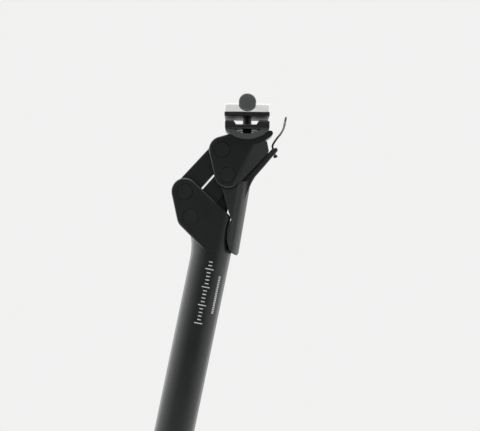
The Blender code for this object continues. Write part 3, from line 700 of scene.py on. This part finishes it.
def underside_rod(off_low, off_high, radius, name):
    """A disc on the underside's normal, between two distances inside the head."""
    outer, inner = strip_point(23.0, -off_low), strip_point(23.0, -off_high)
    return rod(radius, (outer.x, 0, outer.y), (inner.x, 0, inner.y), name=name)


def clamp_point(along, up):
    """The side-plane place of a point in the clamp's own frame."""
    cos, sin = math.cos(CLAMP_TILT), math.sin(CLAMP_TILT)
    return ROCKER_CENTRE + Vector((along * cos - up * sin, along * sin + up * cos))


def head_plan():
    """The head from above: flat cheeks that draw in, as a wedge, to a round back."""
    side, crease, rear = BODY_HALF + 0.02, 9.0, 5.0
    corners = []
    for sign in (-1, 1):
        corners += [(7.0, sign * (side - crease), crease), (19.4, sign * 4.65, rear), (-30.0, sign * side)]
    return wrap(*corners, count=160)


def make_head(sizes):
    """Two cheeks joined by the curved cradle, a front web and the narrowing rear wall."""
    cheeks = side_plate(wrap(disc(HEAD_UPPER, 9.1), disc(HEAD_LOWER, 9.1), strip_point(1.2),
                             (21.6, 332.3, 2.9), (21.9, 339.0), (-2.6, 339.2)), BODY_HALF, name="cheeks")
    rounded(cheeks, sizes.forged_edge, 4)
    lean = math.radians(-12)
    carve(cheeks, plan_block(head_plan(), 285, 355, lean, "taper"), operation="INTERSECT")
    lip_angle = -34.5
    lip = Vector(arc(ROCKER_CENTRE, (CRADLE_INNER + CRADLE_OUTER) / 2, lip_angle, lip_angle, 1)[0])
    band_outline = arc(ROCKER_CENTRE, CRADLE_OUTER, -112, lip_angle, 60)
    band_outline += arc(lip, (CRADLE_OUTER - CRADLE_INNER) / 2, lip_angle, lip_angle + 180, 12)[1:-1]
    band_outline += arc(ROCKER_CENTRE, CRADLE_INNER - 1.0, lip_angle, -112, 60)
    carve(cheeks, side_plate(band_outline, BODY_HALF + 0.03, name="band"), operation="UNION")
    x, z = ROCKER_CENTRE
    reach = BODY_HALF + 3
    carve(cheeks, rod(CRADLE_INNER, (x, -reach, z), (x, reach, z), sides=256, name="rocker_seat"))
    link_room = side_plate(wrap(disc(HEAD_UPPER, 7.9), (-45.0, 328.6), (-45.0, 290.0), (10.0, 290.0),
                                (10.0, 334.0)), SLOT_HALF, name="link_room")
    bolt_room = side_plate([(-4.0, 312.0), (20.6, 312.0), (20.6, 345.0), (-4.0, 345.0)], 7.6,
                           name="bolt_room")
    for room in (link_room, bolt_room):
        carve(room, rod(CRADLE_OUTER, (x, -40, z), (x, 40, z), sides=256, name="keep"))
    slot_at = clamp_point(0.0, -(CRADLE_INNER + CRADLE_OUTER) / 2)
    slot = side_plate([(-7.6, -4.5), (7.2, -4.5), (7.2, 4.5), (-7.6, 4.5)], 3.6, at=slot_at,
                      angle=CLAMP_TILT, name="bolt_slot")
    carve(cheeks, link_room, bolt_room, slot, underside_rod(-0.3, 2.4, 2.9, "pocket"),
          *pivot_cuts((HEAD_LOWER, HEAD_UPPER)))
    return present(cheeks, "head_casting", "black_anodised", "head", ["head"])


# ---------------------------------------------------------------- saddle clamp

def clamp_plate(outline, half_width, y=0.0, name="clamp"):
    return side_plate(outline, half_width, at=ROCKER_CENTRE, y=y, angle=CLAMP_TILT, name=name)


def clamp_rod(radius, low, high, sides=64, name="hole"):
    """A rod along the clamp's own upright axis."""
    a, b = clamp_point(0.0, low), clamp_point(0.0, high)
    return rod(radius, (a.x, 0, a.y), (b.x, 0, b.y), sides=sides, name=name)


def cross_rod(radius, up, half, sides=128, name="cross"):
    at = clamp_point(0.0, up)
    return rod(radius, (at.x, -half, at.y), (at.x, half, at.y), sides=sides, name=name)


def rail_rooms():
    """The round beds of the saddle's two rails."""
    a, b = clamp_point(-25.0, RAIL_DROP), clamp_point(25.0, RAIL_DROP)
    return [rod(RAIL_ROOM, (a.x, y, a.y), (b.x, y, b.y), sides=96, name="rail_room")
            for y in (-RAIL_OFFSET, RAIL_OFFSET)]


def make_lower_clamp():
    """The half-moon rocker, and above it the two rail beds on a cross plate."""
    bed_low, bed_high, lip_high = -13.7, -10.9, -8.7
    start = math.degrees(math.acos(CLAMP_HALF / ROCKER_RADIUS)) + 0.5
    top = [(CLAMP_HALF, bed_high + 1.0), (-CLAMP_HALF, bed_high + 1.0)]
    moon = arc((0, 0), ROCKER_RADIUS, 180 + start, 360 - start, 100) + top
    ring = clamp_plate(moon, BODY_HALF - 0.4, name="moon")
    beds = clamp_plate([(-CLAMP_HALF, bed_low), (CLAMP_HALF, bed_low), (CLAMP_HALF, lip_high),
                        (7.6, lip_high), (6.2, lip_high - 2.4), (-7.6, lip_high - 2.4),
                        (-9.0, lip_high), (-CLAMP_HALF, lip_high)], CLAMP_SIDE, name="beds")
    rounded(beds, 0.0005, 3)
    between = RAIL_OFFSET - RAIL_RADIUS - 1.6
    middle = clamp_plate([(-20, bed_high + 1.2), (20, bed_high + 1.2), (20, 0), (-20, 0)], between,
                         name="between_rails")
    window_top, inner = -13.2, ROCKER_RADIUS - 4.0
    edge = math.degrees(math.asin(-window_top / inner))
    window = clamp_plate(arc((0, 0), inner, 180 + edge, 360 - edge, 60), BODY_HALF + 3, name="window")
    bolt_hole = clamp_rod(BOLT_HOLE, -26, 4, name="bolt_hole")
    below_beds = clamp_plate([(-20, bed_low + 0.05), (20, bed_low + 0.05), (20, 0), (-20, 0)], 40.0,
                             name="below_beds")
    carve(beds, middle, *rail_rooms(), window, bolt_hole)
    carve(ring, below_beds, window, bolt_hole)
    # The ring is given a lighter grey than the black beds above it.
    present(ring, "rocker_ring", "rocker_grey", "rocker")
    present(beds, "rail_beds", "black_satin", "rocker", ["lower_clamp"])


def make_upper_clamp():
    """The top plate, one part shown in two colours for its lit and shaded halves: an upper half in near
    white, a painted highlight of the top light, over a black band where its side is in shade; both notched
    for the barrel nut.
    """
    low, step, high = -5.1, -2.75, 2.6
    half = CLAMP_HALF
    # The upper half, from step to high: a painted highlight in near white.
    plate = clamp_plate([(-half, step), (half - 0.4, step), (half - 0.4, high), (-half, high)],
                        CLAMP_SIDE, name="plate")
    # The band, from low to step: the plate's shaded side, given black.
    band = clamp_plate([(-half - 0.4, low), (half, low), (half, step), (-half - 0.4, step)],
                       CLAMP_SIDE, name="band")
    for solid, width in ((plate, 0.0005), (band, 0.0003)):
        rounded(solid, width, 3)
        carve(solid, cross_rod(6.5, BARREL_RISE, CLAMP_SIDE + 3, name="notch"), *rail_rooms(),
              clamp_rod(BOLT_HOLE, -12, 6, name="bolt_hole"))
    present(plate, "clamp_plate_top", "polished_alloy", "top_plate", ["upper_clamp"])
    present(band, "clamp_plate_band", "black_satin", "top_plate")


def make_clamp_hardware():
    """Barrel nut, bolt with its hex recess, and the saddle-shaped washer under its head."""
    barrel = cross_rod(BARREL_RADIUS, BARREL_RISE, CLAMP_SIDE - 1.6, name="barrel")
    rounded(barrel, 0.0007)
    carve(barrel, clamp_rod(BOLT_RADIUS + 0.1, -6, 20, name="thread"))
    present(barrel, "clamp_barrel", "black_steel", "top_plate", ["barrel_nut"])

    seat, head_low, bolt_end = -27.6, -33.2, 8.6
    head_radius, hex_radius, hex_depth = 5.0, 2.9, 3.2
    shank = clamp_rod(BOLT_RADIUS, seat - 1.0, bolt_end, name="shank")
    head = rounded(clamp_rod(head_radius, head_low, seat, sides=96, name="bolt_head"), 0.0006)
    carve(shank, head, operation="UNION")
    carve(shank, clamp_rod(hex_radius, head_low - 2, head_low + hex_depth, sides=6, name="hex"))
    present(shank, "clamp_screw", "coated_steel", "clamp_bolt", ["clamp_bolt"])

    length_half, width_half, top = 5.2, 6.4, -20
    washer = clamp_plate([(-length_half, seat + GAP), (length_half, seat + GAP), (length_half, top),
                          (-length_half, top)], width_half, name="washer")
    carve(washer, cross_rod(CRADLE_OUTER + GAP, 0.0, 12, sides=256, name="washer_top"),
          clamp_rod(BOLT_HOLE, -32, -18, name="washer_hole"))
    present(washer, "clamp_washer", "bright_steel", "rocker", ["bolt_washer"])


# ---------------------------------------------------------------- guard and hook

def shell_plan(wing, radius, angle):
    """The guard from above: one wing's points, the round back, and the other wing mirrored."""
    back = arc((1.9, 0.0), radius, angle, -angle, 48)[1:-1]
    return wing + back + [(x, -y) for x, y in wing[::-1]]


def make_guard():
    """The rubber guard: wings and a rounded back round the tube, and a strip up to its tab."""
    skirt = side_plate([(-1.0, 300.6), (2.1, 293.7), (5.5, 287.2), (8.9, 281.6), (8.0, 279.0), (7.8, 274.0),
                        (8.3, 270.0), (9.2, 266.5), (11.3, 261.9), (14.0, 259.0), (17.4, 258.0),
                        (19.0, 260.0), (19.0, 304.0), (17.2, 309.6), (11.0, 309.0)]
                       + arc(HEAD_LOWER, 9.15, -24, -98, 24), 16.0, name="skirt")
    outer = shell_plan([(-5.0, 13.9), (9.0, 13.1), (13.1, 11.0)], 15.7, 44.4)
    inner = shell_plan([(-6.0, 12.2), (8.4, 11.4), (12.0, 9.7)], 14.0, 43.8)
    lean = math.radians(2.0)
    carve(skirt, plan_block(outer, 250, 320, lean, "skirt_outside"), operation="INTERSECT")
    carve(skirt, plan_block(inner, 240, 302.0, lean, "skirt_inside"))
    room = side_plate(wrap(disc(HEAD_LOWER, 9.8), (-8.0, 296.0), (8.0, 290.0), (9.5, 301.0),
                           strip_point(-1.0, 0.9)), 11.8, name="link_room")
    carve(skirt, room)
    strip = side_plate([strip_point(0.6, -0.05), strip_point(27.0, -0.05), strip_point(31.4, -0.1),
                        strip_point(34.6, 1.3), strip_point(34.0, 3.6), strip_point(28.8, 3.7),
                        strip_point(20.5, 4.2), strip_point(10.0, 4.6), (17.5, 309.4), (16.6, 305.0),
                        (15.8, 300.0), (15.2, 294.0), (13.9, 294.0), (12.0, 302.0)], 8.0, name="strip")
    carve(skirt, rounded(strip, 0.0008), operation="UNION")
    hole_a, hole_b = tab_hole(-2.5), tab_hole(6.5)
    carve(skirt, underside_rod(-2.6, 0.3, 2.9, "pocket"),
          rod(1.0, (hole_a.x, 0, hole_a.y), (hole_b.x, 0, hole_b.y), name="wire_hole"))
    softened(skirt)
    present(skirt, "guard", "rubber", "head", ["fender"], sharp=None)


def smooth_path(points, steps):
    """A Catmull-Rom curve through the given points."""
    knots = [Vector(p) for p in points]
    knots = [2 * knots[0] - knots[1]] + knots + [2 * knots[-1] - knots[-2]]
    path = []
    for a, b, c, d in zip(knots, knots[1:], knots[2:], knots[3:]):
        for t in (step / steps for step in range(steps)):
            path.append(0.5 * (2 * b + (c - a) * t + (2 * a - 5 * b + 4 * c - d) * t ** 2
                               + (3 * b - a - 3 * c + d) * t ** 3))
    return path + [knots[-2]]


# ---------------------------------------------------------------- rules made with Geometry Nodes

def rule_tree(name, sockets):
    """A geometry tree with named inputs; returns its graph and its input values."""
    tree = bpy.data.node_groups.new(name, "GeometryNodeTree")
    tree.interface.new_socket("Geometry", in_out="OUTPUT", socket_type="NodeSocketGeometry")
    for label, kind in sockets.items():
        tree.interface.new_socket(label, in_out="INPUT", socket_type=kind)
    graph = Graph(tree)
    given = graph.node("NodeGroupInput")
    return graph, {label: Value(graph, given.outputs[label]) for label in sockets}


def rule_end(graph, geometry, key):
    """Realize, give the finish and send to the tree's output."""
    real = graph.node("GeometryNodeRealizeInstances", None, {"Geometry": geometry})
    dressed = graph.node("GeometryNodeSetMaterial", None,
                         {"Geometry": real.outputs[0], "Material": finish(key)})
    graph.node("NodeGroupOutput", None, {"Geometry": dressed.outputs[0]})
    return graph.tree


def sweep_end(graph, curve, radius, sides, key):
    """Sweep a round section along the curve of a node, and end the tree."""
    section = graph.node("GeometryNodeCurvePrimitiveCircle", None, {"Resolution": sides, "Radius": radius})
    swept = graph.node("GeometryNodeCurveToMesh", None, {
        "Curve": curve.outputs[0], "Profile Curve": section.outputs[0], "Fill Caps": True})
    return rule_end(graph, swept.outputs[0], key)


def run_rule(tree, name, values, mesh=None):
    """Run a tree on a new object and keep the plain mesh it makes."""
    made = link_object(mesh or bpy.data.meshes.new(name), name)
    modifier = made.modifiers.new("rule", "NODES")
    modifier.node_group = tree
    for item in tree.interface.items_tree:
        if item.in_out == "INPUT" and item.name in values:
            modifier[item.identifier] = values[item.name]
    graph = bpy.context.evaluated_depsgraph_get()
    result = bpy.data.meshes.new_from_object(made.evaluated_get(graph))
    made.modifiers.clear()
    made.data = result
    return made


def coil_tree():
    """A round wire wound at a steady pitch, with a closed turn at each end."""
    sizes = ("Radius", "Wire", "Low", "High", "Turns")
    graph, given = rule_tree("wound_coil", {label: "NodeSocketFloat" for label in sizes})
    line = graph.node("GeometryNodeCurvePrimitiveLine", None, {"End": (0.0, 0.0, 1.0)})
    dense = graph.node("GeometryNodeResampleCurve", None, {"Curve": line.outputs[0], "Count": 420})
    share = graph.value("GeometryNodeSplineParameter")
    wound = share * given["Turns"]
    climb = (wound - CLOSED_TURN) / (given["Turns"] - 2 * CLOSED_TURN)
    eased = graph.value("ShaderNodeClamp", None, {"Value": climb})
    height = given["Low"] + given["Wire"] + eased * (given["High"] - given["Low"] - given["Wire"] * 2.0)
    angle = wound * math.tau
    place = graph.node("ShaderNodeCombineXYZ", None, {
        "X": given["Radius"] * angle.math("COSINE"), "Y": given["Radius"] * angle.math("SINE"),
        "Z": height})
    moved = graph.node("GeometryNodeSetPosition", None,
                       {"Geometry": dense.outputs[0], "Position": place.outputs[0]})
    return sweep_end(graph, moved, given["Wire"], 14, "spring_steel")


def scale_tree():
    """Thin raised marks on the tube's left side, every fifth one long."""
    graph, given = rule_tree("depth_scale", {
        "Radius": "NodeSocketFloat", "Pitch": "NodeSocketFloat", "Start": "NodeSocketFloat",
        "Count": "NodeSocketInt", "Length": "NodeSocketFloat", "Offset": "NodeSocketFloat",
        "Every": "NodeSocketFloat"})
    step = graph.node("ShaderNodeCombineXYZ", None, {"Z": given["Pitch"]})
    first = graph.node("ShaderNodeCombineXYZ", None, {"Z": given["Start"]})
    line = graph.node("GeometryNodeMeshLine", {"mode": "OFFSET"}, {
        "Count": given["Count"], "Start Location": first.outputs[0], "Offset": step.outputs[0]})
    mark = graph.node("GeometryNodeMeshCube", None, {
        "Size": (1.0, MARK_DEPTH, MARK_WIDTH), "Vertices X": 10, "Vertices Y": 2, "Vertices Z": 2})
    short = (graph.value("GeometryNodeInputIndex") % given["Every"]).math("COMPARE", 0.0, 0.5)
    wide = given["Length"] * (short * 0.55 + 0.45)
    size = graph.node("ShaderNodeCombineXYZ", None, {"X": wide, "Y": 1.0, "Z": 1.0})
    placed = graph.node("GeometryNodeInstanceOnPoints", None, {
        "Points": line.outputs[0], "Instance": mark.outputs[0], "Scale": size.outputs[0]})
    real = graph.node("GeometryNodeRealizeInstances", None, {"Geometry": placed.outputs[0]})
    at = graph.node("ShaderNodeSeparateXYZ", None,
                    {"Vector": graph.node("GeometryNodeInputPosition").outputs[0]})
    turn = (Value(graph, at.outputs["X"]) + given["Offset"]) / given["Radius"]
    out = given["Radius"] - Value(graph, at.outputs["Y"])
    place = graph.node("ShaderNodeCombineXYZ", None, {
        "X": out * turn.math("SINE"), "Y": out * turn.math("COSINE") * -1.0, "Z": at.outputs["Z"]})
    bent = graph.node("GeometryNodeSetPosition", None,
                      {"Geometry": real.outputs[0], "Position": place.outputs[0]})
    return rule_end(graph, bent.outputs[0], "marks")


def wire_tree():
    """A round wire swept along the mesh line that it is given."""
    graph, given = rule_tree("swept_wire", {"Geometry": "NodeSocketGeometry", "Wire": "NodeSocketFloat"})
    curve = graph.node("GeometryNodeMeshToCurve", None, {"Mesh": given["Geometry"]})
    return sweep_end(graph, curve, given["Wire"], 16, "coated_steel")


def make_hook(sizes):
    """A bent wire from the guard's tab over the place of the right-hand saddle rail."""
    wire_end, enter = tab_hole(4.4), tab_hole(0.0)
    rail = clamp_point(HOOK_ALONG, RAIL_DROP)
    reach = RAIL_RADIUS + 1.0
    route = [(wire_end.x, 0, wire_end.y), (enter.x, 0, enter.y), (26.4, 0, 336.9), (26.9, 0, 339.2),
             (28.4, 0.5, 342.8), (30.2, 2.5, 346.4), (31.4, 6.5, 350.0), (rail.x, 12.5, rail.y - 1.2)]
    for angle in map(math.radians, (170, 130, 90, 50, 10, -25)):
        route.append((rail.x, RAIL_OFFSET + reach * math.cos(angle), rail.y + reach * math.sin(angle)))
    path = [point * MM for point in smooth_path(route, 8)]
    mesh = bpy.data.meshes.new("route")
    mesh.from_pydata(path, [(i, i + 1) for i in range(len(path) - 1)], [])
    wire = run_rule(wire_tree(), "hook_wire", {"Wire": sizes.wire_radius}, mesh)
    present(wire, "hook_wire", "coated_steel", "head", ["rail_hook"])
    start, end = tab_hole(4.5), tab_hole(6.4)
    bead = rod(1.4, (start.x, 0, start.y), (end.x, 0, end.y), name="bead")
    present(rounded(bead, 0.0004), "hook_bead", "coated_steel", "head", ["hook_knob"])


def make_springs(sizes):
    """Both springs, wound at their full length; in use they shorten with the plunger."""
    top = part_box("plunger")[1].z
    low, high = SPRING_FOOT * MM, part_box("main_spring")[1].z
    travel = -JOINTS["plunger_slide"]["range_m"][0]
    keep = (high - low - travel) / (high - low)
    if not low < high < top:
        raise RuntimeError("the springs don't fit below the plunger")
    tree = coil_tree()
    for name, radius, wire, turns in (("main", 0.0093, 0.0016, sizes.main_turns),
                                      ("inner", 0.0054, 0.0010, sizes.inner_turns)):
        made = run_rule(tree, f"{name}_coil", {"Radius": radius, "Wire": wire, "Low": low,
                                               "High": high, "Turns": float(turns)})
        present(made, f"{name}_coil", "spring_steel", "post", [f"{name}_spring"])
        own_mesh(made)


def make_scale(sizes):
    """The lasered insertion marks, a wide row and a narrow one behind it."""
    tree = scale_tree()
    given = {"Radius": sizes.tube_radius + 0.00001, "Pitch": sizes.mark_pitch, "Start": sizes.mark_start,
             "Count": sizes.mark_count, "Length": 0.0056, "Offset": 0.0013, "Every": 5.0}
    present(run_rule(tree, "scale_wide", given), "depth_scale", "marks", "post")
    given.update({"Pitch": sizes.mark_pitch / 2, "Start": sizes.mark_start + 0.0085, "Count": 21,
                  "Length": 0.0018, "Offset": 0.0101, "Every": 1.0})
    present(run_rule(tree, "scale_narrow", given), "depth_scale_fine", "marks", "post")


# ---------------------------------------------------------------- stage

def make_camera(stage):
    """Square to the seatpost's left side, rolled with the bicycle's seat angle."""
    data = bpy.data.cameras.new("camera")
    camera = link_object(data, "camera")
    data.lens = stage.focal
    data.sensor_width = 36.0
    cos, sin = math.cos(stage.roll), math.sin(stage.roll)
    axes = Matrix(((cos, 0, sin), (-sin, 0, cos), (0, -1, 0)))
    camera.matrix_world = Matrix.Translation(CAMERA_AT) @ axes.transposed().to_4x4()
    bpy.context.scene.camera = camera


def area_light(name, power, size, at):
    data = bpy.data.lights.new(name, "AREA")
    data.energy = power
    data.shape = "RECTANGLE"
    data.size, data.size_y = size
    made = link_object(data, name)
    made.location = at
    made.rotation_euler = (Vector(LIT_PLACE) - Vector(at)).to_track_quat("-Z", "Y").to_euler()


def make_room(stage):
    """A room with pale side walls, dim in front, over a round pale floor."""
    world = bpy.data.worlds.new("studio")
    bpy.context.scene.world = world
    world.use_nodes = True
    graph = Graph(world.node_tree)
    background = world.node_tree.nodes["Background"]
    towards = graph.node("ShaderNodeSeparateXYZ", None,
                         {"Vector": graph.node("ShaderNodeTexCoord").outputs["Generated"]})
    depth = Value(graph, towards.outputs["Y"])
    across = Value(graph, towards.outputs["X"])
    lift = graph.node("ShaderNodeValToRGB", {"stops": ROOM_STOPS}, {"Fac": depth * 0.5 + 0.5})
    room = Value(graph, lift.outputs[0]) * (stage.sides - stage.front) + stage.front
    room = room * (1.0 - across * LEFT_BIAS)
    seen = graph.value("ShaderNodeLightPath")
    graph.feed(background.inputs["Strength"], room * (1.0 - seen) + seen * stage.backdrop)
    background.inputs["Color"].default_value = (1.0, 1.0, 0.995, 1.0)

    circle = arc((0.0, 0.0), FLOOR_RADIUS, 0, 360, 96)[:-1]
    floor = rounded(prism(circle, -12.0, -1.0, Matrix.Identity(4), "floor"), 0.004)
    made = Finish("pale_floor", 0.7, 0.0)
    made.tint((0.82, 0.82, 0.81), 0.98, 1.02, made.noise(9.0, 3.0))
    floor.data.materials.append(made.material)


# ---------------------------------------------------------------- operators and panel

class SEATPOST_OT_post(bpy.types.Operator):
    """Build the tube with its knuckle and its depth scale"""

    bl_idname = "seatpost.post"
    bl_label = "Post"

    def execute(self, context):
        make_post(context.scene.seatpost_sizes)
        make_scale(context.scene.seatpost_sizes)
        return {"FINISHED"}


class SEATPOST_OT_linkage(bpy.types.Operator):
    """Build both links, the axles and the finishes of the bushes and the roller"""

    bl_idname = "seatpost.linkage"
    bl_label = "Linkage"

    def execute(self, context):
        make_links()
        make_axles(context.scene.seatpost_sizes)
        dress("bronze", *[f"link_bush_{number}" for number in range(1, 9)])
        dress("bright_steel", "roller")
        dress("black_steel", "roller_pin")
        return {"FINISHED"}


class SEATPOST_OT_springs(bpy.types.Operator):
    """Wind the springs and finish the pieces of the spring column"""

    bl_idname = "seatpost.springs"
    bl_label = "Springs"

    def execute(self, context):
        make_springs(context.scene.seatpost_sizes)
        dress("bright_steel", "plunger")
        dress("plastic", "spring_seat")
        dress("rubber", "bump_stop", "plug_oring")
        dress("black_anodised", "preload_plug")
        return {"FINISHED"}


class SEATPOST_OT_head(bpy.types.Operator):
    """Build the head"""

    bl_idname = "seatpost.head"
    bl_label = "Head"

    def execute(self, context):
        make_head(context.scene.seatpost_sizes)
        return {"FINISHED"}


class SEATPOST_OT_clamp(bpy.types.Operator):
    """Build the saddle clamp and its hardware"""

    bl_idname = "seatpost.clamp"
    bl_label = "Saddle clamp"

    def execute(self, context):
        make_lower_clamp()
        make_upper_clamp()
        make_clamp_hardware()
        return {"FINISHED"}


class SEATPOST_OT_guard(bpy.types.Operator):
    """Build the rubber guard with its magnets and its hook"""

    bl_idname = "seatpost.guard"
    bl_label = "Guard and hook"

    def execute(self, context):
        make_guard()
        make_hook(context.scene.seatpost_sizes)
        dress("bright_steel", "fender_magnet", "magnet_keeper")
        return {"FINISHED"}


class SEATPOST_OT_stage(bpy.types.Operator):
    """Set the floor, the studio light and the camera"""

    bl_idname = "seatpost.stage"
    bl_label = "Stage"

    def execute(self, context):
        stage = context.scene.seatpost_stage
        context.scene.view_settings.view_transform = "Standard"
        make_camera(stage)
        make_room(stage)
        area_light("left_strip", stage.strip_power, (0.35, 1.1), (-0.75, 0.80, 0.30))
        area_light("right_strip", stage.strip_power, (0.35, 1.1), (0.75, 0.80, 0.30))
        area_light("right_box", stage.strip_power * 0.25, (0.35, 0.6), (1.0, -0.60, 0.42))
        area_light("top_box", stage.top_power, (1.2, 1.2), (0.1, -0.35, 1.5))
        return {"FINISHED"}


class SEATPOST_PT_panel(bpy.types.Panel):
    """Sizes, colours and the build steps of the seatpost"""

    bl_label = "Suspension Seatpost"
    bl_idname = "SEATPOST_PT_panel"
    bl_space_type = "VIEW_3D"
    bl_region_type = "UI"
    bl_category = "Seatpost"

    def draw(self, context):
        scene = context.scene
        for title, group in (("Sizes", scene.seatpost_sizes), ("Colours", scene.seatpost_colours),
                             ("Stage", scene.seatpost_stage)):
            box = self.layout.box()
            box.label(text=title)
            for name in group.bl_rna.properties.keys():
                if name not in ("name", "rna_type"):
                    box.prop(group, name)
        for step in STEPS:
            self.layout.operator(step.bl_idname)


GROUPS = {"seatpost_sizes": SeatpostSizes, "seatpost_colours": SeatpostColours,
          "seatpost_stage": SeatpostStage}
STEPS = (SEATPOST_OT_stage, SEATPOST_OT_post, SEATPOST_OT_linkage, SEATPOST_OT_springs,
         SEATPOST_OT_head, SEATPOST_OT_clamp, SEATPOST_OT_guard)


def register():
    for item in (*GROUPS.values(), *STEPS, SEATPOST_PT_panel):
        bpy.utils.register_class(item)
    for name, group in GROUPS.items():
        setattr(bpy.types.Scene, name, bpy.props.PointerProperty(type=group))


def unregister():
    for name in GROUPS:
        delattr(bpy.types.Scene, name)
    for item in (SEATPOST_PT_panel, *reversed(STEPS), *reversed(GROUPS.values())):
        bpy.utils.unregister_class(item)


def main():
    register()
    bpy.ops.seatpost.stage()
    bpy.ops.seatpost.post()
    bpy.ops.seatpost.linkage()
    bpy.ops.seatpost.springs()
    bpy.ops.seatpost.head()
    bpy.ops.seatpost.clamp()
    bpy.ops.seatpost.guard()


if __name__ == "__main__":
    main()
